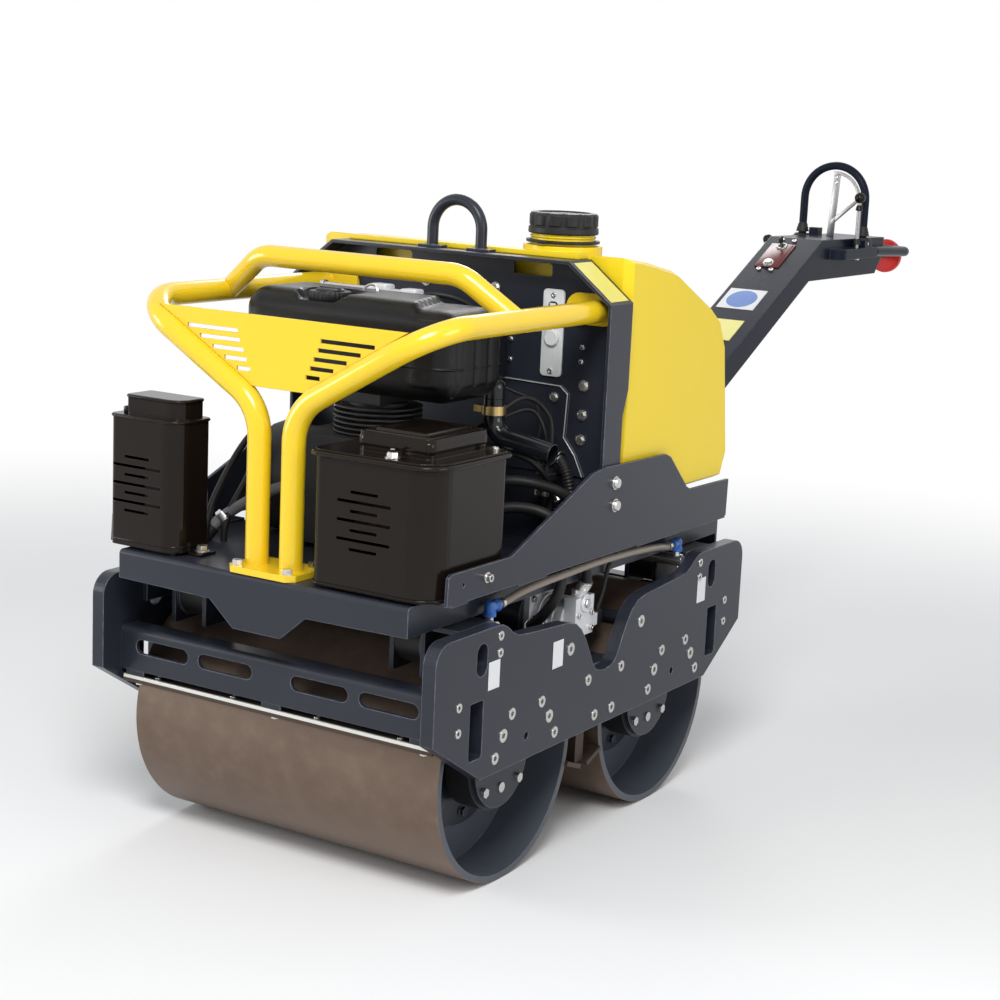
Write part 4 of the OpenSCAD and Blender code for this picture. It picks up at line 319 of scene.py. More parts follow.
finishLooks = {
    # the pale blue-grey edge colour and strong edge amount paint a highlight along the rounded edges, patchy
    # like wear
    "darkPaint": dict(colour=(0.024, 0.027, 0.039), shade=0.72, roughness=0.3, specular=0.26, coat=0.05,
        coatRoughness=0.12, wearAndHighlight=1.1, wearAndHighlightColour=(0.3, 0.33, 0.4), edge=0.003, grain=300, bump=0.14,
        dust=0.1, dustColour=(0.16, 0.15, 0.15)),
    "tillerPaint": dict(colour=(0.011, 0.015, 0.027), shade=0.75, roughness=0.26, specular=0.07, wearAndHighlight=0.8,
        wearAndHighlightColour=(0.15, 0.18, 0.24), edge=0.003, grain=300, bump=0.12, dust=0.04,
        dustColour=(0.12, 0.12, 0.13)),
    "yellowPaint": dict(colour=(0.88, 0.60, 0.016), shade=0.93, roughness=0.2, coat=0.35,
        coatRoughness=0.06, wearAndHighlight=0.08, wearAndHighlightColour=(0.98, 0.8, 0.2), edge=0.002, grain=220, bump=0.08,
        dust=0.04),
    "yellowPlastic": dict(colour=(0.86, 0.63, 0.014), shade=0.95, roughness=0.36, specular=0.35, coat=0.1,
        wearAndHighlight=0.05, wearAndHighlightColour=(0.95, 0.78, 0.2), edge=0.004, grain=700, bump=0.12, dust=0.03),
    "labelYellow": dict(colour=(0.84, 0.78, 0.22), wearAndHighlight=0.05, dust=0.05),
    "labelPlate": dict(colour=(0.72, 0.73, 0.74), shade=0.93, roughness=0.42, wearAndHighlight=0.05,
        wearAndHighlightColour=(0.8, 0.8, 0.8), dust=0.06),
    "labelOrange": dict(colour=(0.75, 0.12, 0.02), shade=0.85, roughness=0.35, wearAndHighlight=0.05),
    # the brown tint in this colour is a painted reflection of the ground on the glossy guards
    "blackPlastic": dict(colour=(0.0115, 0.0075, 0.0055), shade=0.6, roughness=0.14, glossSpread=0.06,
        specular=0.2, wearAndHighlight=0.16, wearAndHighlightColour=(0.05, 0.045, 0.04), edge=0.0022, grain=260, bump=0.03,
        dust=0.03, dustColour=(0.1, 0.09, 0.08)),
    "glossBlack": dict(colour=(0.009, 0.01, 0.013), shade=0.7, roughness=0.16, glossSpread=0.05,
        specular=0.45, wearAndHighlight=0.16, wearAndHighlightColour=(0.06, 0.06, 0.07), edge=0.002, grain=260, bump=0.03,
        dust=0.03, dustColour=(0.1, 0.1, 0.1)),
    "tankBlack": dict(colour=(0.0055, 0.0055, 0.006), shade=0.6, roughness=0.32, glossSpread=0.14,
        specular=0.24, wearAndHighlight=0.12, wearAndHighlightColour=(0.04, 0.04, 0.04), edge=0.003, grain=430, bump=0.8,
        bumpDepth=0.0008, dust=0.05, dustColour=(0.1, 0.1, 0.1)),
    "mattBlack": dict(colour=(0.012, 0.012, 0.014), shade=0.75, roughness=0.48, specular=0.3, wearAndHighlight=0.2,
        wearAndHighlightColour=(0.06, 0.06, 0.065), grain=900, bump=0.2, dust=0.06, dustColour=(0.14, 0.13, 0.13)),
    "bareSteel": dict(colour=(0.07, 0.046, 0.034), shade=0.7, metallic=0.3, roughness=0.5,
        glossSpread=0.2, specular=0.3, wearAndHighlight=0.4, wearAndHighlightColour=(0.32, 0.28, 0.24), grain=180, bump=0.2,
        streak=(0.3, 1, 1)),
    # pale metal for the scrapers' edges, and for the painted highlight strip on the bracket plate's edge
    "brightEdge": dict(colour=(0.75, 0.74, 0.7), shade=0.85, metallic=0.5, roughness=0.34, wearAndHighlight=0.1,
        wearAndHighlightColour=(0.9, 0.9, 0.88), grain=300, dust=0.05),
    "zinc": dict(colour=(0.66, 0.65, 0.63), metallic=0.92, roughness=0.26, wearAndHighlightColour=(0.85, 0.85, 0.83),
        edge=0.0008, grain=900, dust=0.08),
    "machined": dict(colour=(0.55, 0.55, 0.55), metallic=1.0, roughness=0.22, wearAndHighlight=0.1,
        wearAndHighlightColour=(0.7, 0.7, 0.7), streak=(4, 0.2, 0.2), grain=300, bump=0.2),
    "brushedSteel": dict(colour=(0.36, 0.36, 0.37), metallic=0.9, roughness=0.34,
        wearAndHighlightColour=(0.6, 0.6, 0.6), edge=0.001, streak=(1, 1, 6), grain=260, bump=0.2, dust=0.05),
    "castSilver": dict(colour=(0.8, 0.81, 0.84), shade=0.88, metallic=0.25, grain=420, bump=0.4,
        bumpDepth=0.0006, wearAndHighlightColour=(0.62, 0.62, 0.63), dust=0.1),
    "castDark": dict(colour=(0.022, 0.022, 0.024), shade=0.7, metallic=0.2, roughness=0.5, grain=380,
        bump=0.5, bumpDepth=0.0006, wearAndHighlight=0.4, wearAndHighlightColour=(0.13, 0.12, 0.11), dust=0.2),
    "rubber": dict(colour=(0.013, 0.012, 0.012), shade=0.7, roughness=0.5, specular=0.3, grain=700,
        bump=0.2, wearAndHighlight=0.2, wearAndHighlightColour=(0.05, 0.045, 0.04), dustColour=(0.16, 0.14, 0.13)),
    "greySleeve": dict(colour=(0.16, 0.16, 0.17), shade=0.75, roughness=0.55, grain=520, bump=0.5,
        wearAndHighlight=0.1, wearAndHighlightColour=(0.25, 0.25, 0.25)),
    "redPlastic": dict(colour=(0.62, 0.016, 0.012), shade=0.85, roughness=0.24, specular=0.45, wearAndHighlight=0.1,
        wearAndHighlightColour=(0.8, 0.2, 0.15), grain=400, dust=0.04),
    "redPanel": dict(colour=(0.13, 0.012, 0.01), roughness=0.3, wearAndHighlight=0.25, wearAndHighlightColour=(0.3, 0.05, 0.04),
        grain=400, dust=0.04),
    "whitePlastic": dict(colour=(0.72, 0.74, 0.74), shade=0.94, wearAndHighlight=0.05, wearAndHighlightColour=(0.8, 0.8, 0.8),
        dust=0.06, dustColour=(0.5, 0.46, 0.4)),
    "bluePlastic": dict(colour=(0.03, 0.15, 0.52), roughness=0.28, wearAndHighlight=0.1, wearAndHighlightColour=(0.1, 0.25, 0.6)),
    "brass": dict(colour=(0.6, 0.44, 0.2), metallic=0.9, roughness=0.3, edge=0.0008, wearAndHighlight=0.2,
        wearAndHighlightColour=(0.8, 0.65, 0.4)),
    "heatSteel": dict(colour=(0.13, 0.075, 0.05), shade=0.5, cloud=16.0, metallic=0.35, roughness=0.6,
        glossSpread=0.25, grain=240, bump=0.5, bumpDepth=0.0008, wearAndHighlightColour=(0.25, 0.15, 0.1)),
    "waterHose": dict(colour=(0.27, 0.225, 0.185), roughness=0.26, specular=0.5, wearAndHighlight=0.0, grain=200,
        dust=0.1),
}
finishes = {name: makeFinish(name, changes) for name, changes in finishLooks.items()}

drumFinish = {
    "axleY": 0.264, "axleZ": 0.210, "limit": 0.2085, "rolled": ((0.10, 0.066, 0.048), (0.19, 0.132, 0.098)),
    "spots": (0.26, 0.2, 0.155), "paint": ((0.05, 0.056, 0.07), (0.08, 0.09, 0.112)),
    "wearAndHighlightColour": (0.3, 0.26, 0.22), "metallic": 0.55, "roughness": 0.3, "glossSpread": 0.25,
    "specular": 0.4, "bump": 0.12, "bumpDepth": 0.0006,
    "skin": dict(Grain=130.0, Streak=(0.35, 1, 1), Cloud=7.0),
    "fine": dict(Grain=260.0, Streak=(1, 1, 1), Cloud=26.0),
    "edge": dict(Radius=0.002, Amount=0.5, Scale=50.0),
}


def makeDrumFinish(name, side):
    # brown steel where the drum rolls, dark paint on everything inside it
    look = drumFinish
    material, tree = newMaterial(name)
    outer = groupNode(tree, radiusGroup, AxleY=side * look["axleY"], AxleZ=look["axleZ"],
                      Limit=look["limit"])["Mask"]
    skin = groupNode(tree, skinGroup, **look["skin"])
    fine = groupNode(tree, skinGroup, **look["fine"])
    edge = groupNode(tree, edgeGroup, **look["edge"])
    steel = mixColours(tree, skin["Change"], *look["rolled"])
    spotted = mixColours(tree, mathNode(tree, "POWER", fine["Change"], 3.0), steel, look["spots"])
    body = mixColours(tree, outer, mixColours(tree, skin["Change"], *look["paint"]), spotted)
    gloss = mathNode(tree, "MULTIPLY", fine["Change"], look["glossSpread"])
    setShader(tree, fine["Height"], edge, look, {
        "Base Color": mixColours(tree, edge["Mask"], body, look["wearAndHighlightColour"]),
        "Metallic": mathNode(tree, "MULTIPLY", outer, look["metallic"]),
        "Roughness": mathNode(tree, "ADD", gloss, look["roughness"])})
    return material


finishes["frontDrum"] = makeDrumFinish("frontDrum", -1)
finishes["rearDrum"] = makeDrumFinish("rearDrum", 1)

nodeFinishes = {
    "darkPaint": "side_plate_right side_plate_left front_beam rear_beam centre_crossmember axle_carriers "
        "exciter_housing buffer_brackets deck_frame side_skirts support_frame lifting_eye tiller_bracket "
        "front_drum_hubs rear_drum_hubs",
    "tillerPaint": "tiller_arm handle_bar travel_hoop",
    "yellowPaint": "guard_frame guard_infill",
    "yellowPlastic": "water_tank",
    "blackPlastic": "right_guard right_guard_lid left_guard",
    "glossBlack": "air_filter breather_pipe",
    "tankBlack": "fuel_tank",
    "mattBlack": "water_cap fuel_cap engine_cowl battery",
    "bareSteel": "outer_scrapers inner_scrapers",
    "zinc": "lower_frame_bolts frame_bolts sprinkler_bars tiller_pin vibration_lever throttle_lever "
        "key_switch start_button",
    "machined": "bearings exciter_shaft crankshaft",
    "castSilver": "exciter_motor",
    "castDark": "bearing_housings travel_motors engine_block hydraulic_pump",
    "rubber": "rubber_buffers hydraulic_hoses",
    "waterHose": "water_hoses",
    "redPlastic": "stop_pad control_panel",
    "whitePlastic": "level_gauge",
    "bluePlastic": "water_elbows",
    "brass": "hose_clamp",
    "heatSteel": "muffler",
    "frontDrum": "front_drum",
    "rearDrum": "rear_drum",
}
for finish, members in nodeFinishes.items():
    for member in members.split():
        mesh = nodes[member].data
        mesh.materials.clear()
        mesh.materials.append(finishes[finish])
print("finishes on", len(nodes), "nodes")


# shapes that the pieces are built from, in millimetres
def nodeBox(name):
    low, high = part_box(name)
    return [v / mm for v in low], [v / mm for v in high]


def vertsOf(geometry):
    return [v for v in geometry if isinstance(v, bmesh.types.BMVert)]


def closeShape(shape):
    # fills open ends, joins doubled points and turns every face outwards
    bmesh.ops.remove_doubles(shape, verts=shape.verts, dist=0.01)
    bmesh.ops.holes_fill(shape, edges=[e for e in shape.edges if e.is_boundary], sides=0)
    bmesh.ops.recalc_face_normals(shape, faces=shape.faces)
    return shape


def roundEdges(shape, size, steps):
    sharp = [e for e in shape.edges if len(e.link_faces) == 2 and e.calc_face_angle(0) > math.radians(30)]
    bmesh.ops.bevel(shape, geom=sharp, offset=size, segments=steps, profile=0.5, affect="EDGES",
                    material=-1, clamp_overlap=True)
    return shape


def boxShape(low, high, size=1.5, steps=2):
    shape = bmesh.new()
    bmesh.ops.create_cube(shape, size=1)
    bmesh.ops.scale(shape, vec=[b - a for a, b in zip(low, high)], verts=shape.verts)
    bmesh.ops.translate(shape, vec=[(a + b) / 2 for a, b in zip(low, high)], verts=shape.verts)
    return roundEdges(shape, size, steps)


def outlineShape(points, axis, start, end, size=1.0, steps=2):
    # an outline of the two other coordinates, pushed along an axis
    shape, n = bmesh.new(), "xyz".index(axis)
    face = shape.faces.new([shape.verts.new((*p[:n], start, *p[n:])) for p in points])
    pushed = bmesh.ops.extrude_face_region(shape, geom=[face])["geom"]
    bmesh.ops.translate(shape, vec=[end - start if k == n else 0 for k in range(3)], verts=vertsOf(pushed))
    return roundEdges(closeShape(shape), size, steps)


def aimed(shape, place, direction):
    turn = Vector(direction).to_track_quat("Z", "Y").to_matrix().to_4x4()
    shape.transform(Matrix.Translation(Vector(place)) @ turn)
    return shape


def spunShape(profile, place, direction=(0, 0, 1), steps=32):
    # a profile of (radius, height) turned about an axis
    shape = bmesh.new()
    verts = [shape.verts.new((r, 0, h)) for r, h in profile]
    edges = [shape.edges.new(pair) for pair in zip(verts, verts[1:])]
    bmesh.ops.spin(shape, geom=verts + edges, cent=(0, 0, 0), axis=(0, 0, 1), dvec=(0, 0, 0),
                   angle=2 * math.pi, steps=steps, use_merge=True, use_duplicate=False)
    return aimed(closeShape(shape), place, direction)


def discShape(place, radius, height, steps=32):
    return spunShape([(0, 0), (radius, 0), (radius, height), (0, height)], place, steps=steps)


def rodShape(start, end, radius, steps=20, edge=0.8):
    way = Vector(end) - Vector(start)
    length, cut = way.length, min(edge, radius * 0.4)
    profile = [(0, 0), (radius - cut, 0), (radius, cut), (radius, length - cut), (radius - cut, length),
               (0, length)]
    return spunShape(profile, start, way, steps)


def hexShape(place, across, height, direction=(0, 0, 1)):
    # nut or hexagon head with its corners turned down
    half = across / math.sqrt(3)
    profile = [(0, 0), (half, 0), (half, height * 0.8), (half * 0.88, height), (0, height)]
    return spunShape(profile, place, direction, 6)


def screwShape(place, radius, height, direction=(0, 0, 1)):
    # socket head with a hexagonal well
    well = radius * 0.52
    profile = [(0, height * 0.35), (well, height * 0.35), (well, height * 0.96), (well * 1.08, height),
               (radius * 0.86, height), (radius, height * 0.84), (radius, 0), (0, 0)]
    shape = spunShape(profile, (0, 0, 0), steps=24)
    for v in shape.verts:
        if 0.5 * well < math.hypot(v.co.x, v.co.y) < 1.02 * well:
            turn = math.degrees(math.atan2(v.co.y, v.co.x)) % 60 - 30
            v.co.xy *= 0.9 / math.cos(math.radians(turn))
    return aimed(shape, place, direction)


def arcPoints(radius, degrees, x=0, z=0):
    return [(x + radius * math.cos(math.radians(a)), z + radius * math.sin(math.radians(a))) for a in degrees]


def ballShape(radius, place, direction=(0, 0, 1)):
    profile = [(0, -radius)] + arcPoints(radius, range(-75, 90, 15)) + [(0, radius)]
    return spunShape(profile, place, direction)


def smoothPath(points, steps):
    # Catmull curve through the points
    marks = [Vector(p) for p in points]
    marks = [2 * marks[0] - marks[1]] + marks + [2 * marks[-1] - marks[-2]]
    path = []
    for a, b, c, d in zip(marks, marks[1:], marks[2:], marks[3:]):
        for k in range(steps):
            t = k / steps
            path.append(0.5 * (2 * b + (c - a) * t + (2 * a - 5 * b + 4 * c - d) * t * t
                               + (3 * b - a - 3 * c + d) * t ** 3))
    return path + [marks[-2]]


def tubeShape(path, radius, sides=16, closed=False):
    # a circle carried along a path; radius is one number or one for each point
    path = [Vector(p) for p in path]
    radii = radius if isinstance(radius, list) else [radius] * len(path)
    frames, across = [], None
    for n, (point, size) in enumerate(zip(path, radii)):
        before = path[n - 1] if n or closed else point
        after = path[(n + 1) % len(path)] if n < len(path) - 1 or closed else point
        way = (after - before).normalized()
        if across is None:
            across = way.orthogonal().normalized()
        across = (across - across.dot(way) * way).normalized()
        frames.append(axesMatrix(across * size, way.cross(across) * size, way, point))
    shape = bmesh.new()
    bmesh.ops.create_circle(shape, cap_ends=False, radius=1, segments=sides)
    shape.transform(frames[0])
    first = edges = shape.edges[:]
    for before, after in zip(frames, frames[1:]):
        pushed = bmesh.ops.extrude_edge_only(shape, edges=edges)["geom"]
        verts = vertsOf(pushed)
        new = set(verts)
        edges = [e for e in pushed if isinstance(e, bmesh.types.BMEdge) and all(v in new for v in e.verts)]
        bmesh.ops.transform(shape, matrix=after @ before.inverted(), verts=verts)
    if closed:
        bmesh.ops.bridge_loops(shape, edges=first + edges)
    return closeShape(shape)


def smoothTube(points, steps, radius, sides):
    return tubeShape(smoothPath(points, steps), radius, sides)


def roundedOutline(x0, x1, y0, y1, radii, steps=6):
    corners = [(x0 + radii[0], y0 + radii[0], 180), (x1 - radii[1], y0 + radii[1], 270),
               (x1 - radii[2], y1 - radii[2], 0), (x0 + radii[3], y1 - radii[3], 90)]
    outline = []
    for (x, y, turn), r in zip(corners, radii):
        outline += arcPoints(r, [turn + 90 * k / steps for k in range(steps + 1)], x, y)
    return outline


def lipShape(low, high, grow, radii, z, thick, sides=10):
    # a rod round a rounded outline at one height
    outline = roundedOutline(low[0] - grow, high[0] + grow, low[1] - grow, high[1] + grow, radii)
    return tubeShape([(x, y, z) for x, y in outline], thick, sides, closed=True)


def mouldedShape(low, high, radius, cuts, relief):
    # rounded box with an even net of faces; relief moves each point after that
    shape = bmesh.new()
    bmesh.ops.create_cube(shape, size=1)
    bmesh.ops.subdivide_edges(shape, edges=shape.edges[:], cuts=cuts, use_grid_fill=True)
    low, high = Vector(low), Vector(high)
    for v in shape.verts:
        point = Vector([low[i] + (v.co[i] + 0.5) * (high[i] - low[i]) for i in range(3)])
        inner = Vector([min(max(point[i], low[i] + radius), high[i] - radius) for i in range(3)])
        out = (point - inner).normalized()
        v.co = relief(inner + out * radius, out)
    bmesh.ops.recalc_face_normals(shape, faces=shape.faces)
    return shape


def ease(value, start, end):
    t = min(max((value - start) / (end - start), 0), 1)
    return t * t * (3 - 2 * t)


def within(value, start, end, soft):
    # 1 between start and end, falling to 0 over soft outside them
    return ease(value, start - soft, start) * (1 - ease(value, end, end + soft))


def inPatch(a, b, patch):
    # within, for a patch of (start, end, soft) along two coordinates
    return within(a, *patch[0]) * within(b, *patch[1])


def waved(shape, count, chosen, share):
    # draws the chosen points of a cap's side in by a share of their reach, in even waves
    for v in shape.verts:
        reach = math.hypot(v.co.x, v.co.y)
        if chosen(reach, v.co.z):
            v.co.xy *= 1 - share(reach, 0.5 + 0.5 * math.cos(count * math.atan2(v.co.y, v.co.x)))


def finishPiece(name, slot, parts, *stands, body="chassis", moved=None):
    # parts are shapes, or (maker, *values), after the name of their finish, or a dictionary by finish
    if isinstance(parts, dict):
        parts = [part for look, made in parts.items() for part in (look, *made)]
    whole, looks = bmesh.new(), []
    for part in parts:
        if isinstance(part, str):
            look = part
            if look not in looks:
                looks.append(look)
            continue
        shape = part[0](*part[1:]) if isinstance(part, tuple) else part
        if moved:
            moved(shape)
        for face in shape.faces:
            face.material_index, face.smooth = looks.index(look), True
        step = bpy.data.meshes.new("step")
        shape.to_mesh(step)
        shape.free()
        whole.from_mesh(step)
        bpy.data.meshes.remove(step)
    bmesh.ops.scale(whole, vec=(mm, mm, mm), verts=whole.verts)
    mesh = bpy.data.meshes.new(name)
    whole.to_mesh(mesh)
    whole.free()
    for look in looks:
        mesh.materials.append(finishes[look])
    mesh.set_sharp_from_angle(angle=math.radians(35))
    piece = addObject(name, mesh)
    if stands:
        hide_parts(*stands)
    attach(piece, body)


# fuel tank and its cap
fuelTank = {"round": 40, "cuts": 63, "domeDrop": 11, "domeEdge": (145, -335, 0.31),
            "dishAt": (-62, -285), "dishRadius": 53, "dishFloor": 966.5,
            "topGroove": ((-175, 120, 12), (-188, -182, 4)), "frontPanel": ((148, 196, 4), (846, 926, 4)),
            "frontGroove": ((-205, 120, 8), (884, 888, 3)), "rise": 2.5, "groove": 3, "topDeep": 3.5,
            "ribs": ((-288, -262, 3), (-248, -222, 3), (-208, -182, 3)), "ribHeights": (848, 930, 5),
            "sideGroove": (-306, -302, 3), "leftPanel": ((-300, -190, 4), (850, 925, 5)), "seamZ": 876,
            "clip": [(-34, -232, 975), (-30, -226, 988), (-20, -222, 993), (-8, -222, 988), (-4, -226, 975)]}


def buildFuelTank():
    look = fuelTank
    low, high = nodeBox("fuel_tank")
    edge, middle, slant = look["domeEdge"]

    def relief(p, out):
        edgeX = edge - (p.y - middle) * slant  # the raised dome's right boundary
        if out.z > 0.25:
            p.z -= look["domeDrop"] * ease(p.x, edgeX - 6, edgeX + 8) * ease(out.z, 0.25, 0.7)
            reach = math.hypot(p.x - look["dishAt"][0], p.y - look["dishAt"][1])
            if p.z > look["dishFloor"]:
                p.z += (look["dishFloor"] - p.z) * ease(reach, look["dishRadius"] + 5, look["dishRadius"] - 1)
            p.z -= look["topDeep"] * inPatch(p.x, p.y, look["topGroove"]) * ease(out.z, 0.6, 0.95)
        if out.y < -0.7:
            p.y -= look["rise"] * inPatch(p.x, p.z, look["frontPanel"])
            p.y += look["groove"] * inPatch(p.x, p.z, look["frontGroove"])
        if out.x > 0.7:
            rise = max(within(p.y, *rib) for rib in look["ribs"])
            p.x += look["rise"] * rise * within(p.z, *look["ribHeights"])
            p.x -= look["groove"] * within(p.y, *look["sideGroove"])
        if out.x < -0.7:
            p.x -= look["rise"] * inPatch(p.y, p.z, look["leftPanel"])
        return p

    shape = mouldedShape(low, high, look["round"], look["cuts"], relief)
    seam = lipShape(low, high, 0.5, [look["round"]] * 4, look["seamZ"], 1.6, 8)
    parts = ["tankBlack", shape, seam, "zinc", smoothTube(look["clip"], 4, 2.2, 8)]
    finishPiece("fuelTankShell", "black_plastic", parts, "fuel_tank")


fuelCap = {"radius": 37.5, "ribs": 30, "ribDepth": 1.8, "under": 22,
           "crown": [(0, 20.5), (20, 20.2), (24.5, 18.5), (26, 15), (0, 15)]}


def buildFuelCap():
    low, high = nodeBox("fuel_cap")
    x, y, z = (low[0] + high[0]) / 2, (low[1] + high[1]) / 2, high[2] - fuelCap["under"]
    r = fuelCap["radius"]
    body = spunShape([(0, 0), (r - 1, 0), (r, 1.5), (r, 13), (r - 2.5, 15.5), (0, 15.5)], (0, 0, z),
                     steps=4 * fuelCap["ribs"])
    waved(body, fuelCap["ribs"], lambda reach, up: reach > r - 1.5,
          lambda reach, wave: fuelCap["ribDepth"] * wave / reach)
    bmesh.ops.translate(body, vec=(x, y, 0), verts=body.verts)
    crown = spunShape(fuelCap["crown"], (x, y, z), steps=48)
    grip = boxShape((x - 22, y - 4, z + 15), (x + 22, y + 4, z + 22), 2)
    neck = discShape((x, y, z - 7), 25, 8, 40)
    finishPiece("fuelCapBody", "matte_black", ["mattBlack", body, crown, grip, neck], "fuel_cap",
                body="fuel_filler")


# water tank's cap and strap
waterCap = {"radius": 64.0, "tall": 38, "lobes": 12, "lobeDepth": 2.6, "strapZ": 1069, "strapRadius": 67,
            "strap": [(-8.5, 0), (-1, 0), (0, 1), (0, 4.5), (-1, 5.5), (-8.5, 5.5), (-8.5, 0)],
            "tab": [(-11, 4), (11, 4), (8, -11), (-8, -11)],
            "rib": [(57, 0), (59.5, 0.5), (60.5, 2), (59.5, 3.5), (57, 4)]}


def buildWaterCap():
    look = waterCap
    low, high = nodeBox("water_cap")
    x, y, top = (low[0] + high[0]) / 2, (low[1] + high[1]) / 2, high[2]
    r, base = look["radius"], top - look["tall"]
    profile = [(0, base), (r - 1.5, base), (r, base + 2), (r - 0.5, base + 11), (r - 3, base + 12.5),
               (r - 3, base + 14), (r - 0.8, base + 15.5), (r - 0.8, top - 5), (r - 4, top - 1),
               (r - 9, top), (r - 16, top), (r - 18, top - 2.5), (22, top - 3.5), (18, top - 1.5),
               (0, top - 1.2)]
    shape = spunShape(profile, (0, 0, 0), steps=144)
    waved(shape, look["lobes"], lambda reach, up: reach > r - 5 and up > base + 14,
          lambda reach, wave: look["lobeDepth"] / r * wave ** 3)
    bmesh.ops.translate(shape, vec=(x, y, 0), verts=shape.verts)
    plug = spunShape([(0, base - 26), (48, base - 26), (48.5, base + 1), (0, base + 1)], (x, y, 0), steps=48)
    finishPiece("waterCapBody", "matte_black", ["mattBlack", shape, plug], "water_cap", body="water_filler")
    z, s = look["strapZ"], look["strapRadius"]
    band = spunShape([(s + a, b) for a, b in look["strap"]], (x, y, z), steps=72)
    tab = outlineShape([(x + a, y - s + b) for a, b in look["tab"]], "z", z, z + 5.5, 1.5)
    rib = spunShape(look["rib"], (x, y, z + 9), steps=64)
    finishPiece("capStrap", "matte_black", ["mattBlack", band, tab, "yellowPlastic", rib])


# engine guards
rightGuard = {"corners": [16, 50, 16, 16], "lips": ((-3.5, 0, 4.2), (9, -3, 2.2)),
              "lid": ((159, -500, 3), (305, -327, 38)), "lidRound": 15, "cuts": 39,
              "raised": ((184, 280, 4), (-478, -350, 4)), "sunk": ((196, 268, 4), (-466, -362, 4)),
              "rise": 3.5, "sink": 2.0, "stud": (245, -519), "screws": ((126, -356), (322, -340))}
leftGuard = {"low": (-337, -534), "high": (-186, -446), "corners": [12, 34, 12, 12], "topZ": 763,
             "footZ": 545, "cap": ((-312, -521), (-192, -459), [8, 26, 8, 8]),
             "ledge": ((-322, -519, 762), (-311, -462, 775), 3), "bolt": (-173, -480, 535.5)}


def buildGuards():
    look = rightGuard
    low, high = nodeBox("right_guard")
    lips = [lipShape(low, high, grow, look["corners"], level + rise, thick)
            for level, (rise, grow, thick) in zip((high[2], low[2]), look["lips"])]
    finishPiece("rightGuardLip", "black_plastic", ["blackPlastic", *lips])

    def relief(p, out):
        if out.z > 0.6:
            p.z += look["rise"] * inPatch(p.x, p.y, look["raised"])
            p.z -= look["sink"] * inPatch(p.x, p.y, look["sunk"])
        return p

    base = nodeBox("right_guard_lid")[0][2]
    lidLow, lidHigh = [(x, y, base + z) for x, y, z in look["lid"]]
    dome = mouldedShape(lidLow, lidHigh, look["lidRound"], look["cuts"], relief)
    x, y, z = *look["stud"], lidLow[2] + 1
    parts = ["blackPlastic", dome, "zinc", rodShape((x, y, z), (x, y, z + 15), 4.2),
             discShape((x, y, z), 12.5, 1.6), hexShape((x, y, z + 1.6), 17, 8)]
    parts += [screwShape((*at, z), 6, 6) for at in look["screws"]]
    finishPiece("rightGuardDome", "black_plastic", parts)

    look = leftGuard
    low, high, corners, bodyTop = look["low"], look["high"], look["corners"], look["topZ"]
    capLow, capHigh, capCorners = look["cap"]
    x, y, z = look["bolt"]
    finishPiece("leftGuardLips", "black_plastic", [
        "blackPlastic", lipShape(low, high, 0, corners, bodyTop - 3, 3),
        lipShape(low, high, -1, corners, look["footZ"], 2, 8),
        lipShape(capLow, capHigh, 0, capCorners, nodeBox("left_guard")[1][2] - 3, 3),
        boxShape(*look["ledge"]),
        "zinc", discShape((x, y, z), 13, 2), hexShape((x, y, z + 2), 18, 9)])


# hoses, in the places of the source's own
hoses = {
    "drive": [
        [(301.5, 0, 450.5), (301.5, 0, 454), (302.5, 0, 457), (309, 0, 468), (315, -1, 481), (315, -6, 512),
         (315, -14, 546), (314, -26, 592), (300, -46, 632), (262, -78, 656), (212, -104, 662),
         (160, -124, 652), (160, -157.5, 652)],
        [(252, -59.5, 400), (252, -84, 400), (274, -100, 416), (299, -104, 444), (313, -98, 472),
         (315, -88, 505), (315, -80, 545), (308, -82, 585), (276, -98, 612), (232, -114, 618),
         (196, -134, 612), (196, -157.5, 612)]],
    "water": [(322, -311.5, 495), (322, -284, 496), (325, -262, 502), (329, -228, 508), (332, -180, 512),
              (333, -110, 514), (333, 0, 516), (333, 110, 514), (331, 190, 509), (327, 244, 503),
              (322, 284, 496), (322, 311.5, 495)],
    "driveRadius": 9.8, "waterRadius": 7, "crimp": (8, 26, 12.4, 0.93), "nut": (25, 12),
    "elbow": {"x": 322, "y": 334, "z": 495, "footZ": 480, "arm": (22, 9.4), "collarIn": 14,
              "ferruleIn": 32, "ferruleUp": 0.4,
              "foot": [(0, 0), (11.2, 0), (11.2, 7), (9.6, 8), (9.6, 21), (7, 25), (0, 25)],
              "collar": [(7.3, 0), (10, 0), (11, 2), (11, 8), (10, 10), (7.3, 10), (7.3, 0)],
              "ferrule": [(7.2, 0), (9, 0), (9, 7), (7.2, 7), (7.2, 0)]},
}


def crimpedSleeve(path):
    # a sleeve over a stretch of a hose, counted from its end
    start, length, radius, valley = hoses["crimp"]
    run, picked = 0, []
    for a, b in zip(path, path[1:]):
        run += (b - a).length
        if start <= run <= start + length:
            picked.append(b)
    return tubeShape(picked, [radius if n % 2 else radius * valley for n in range(len(picked))], 18)


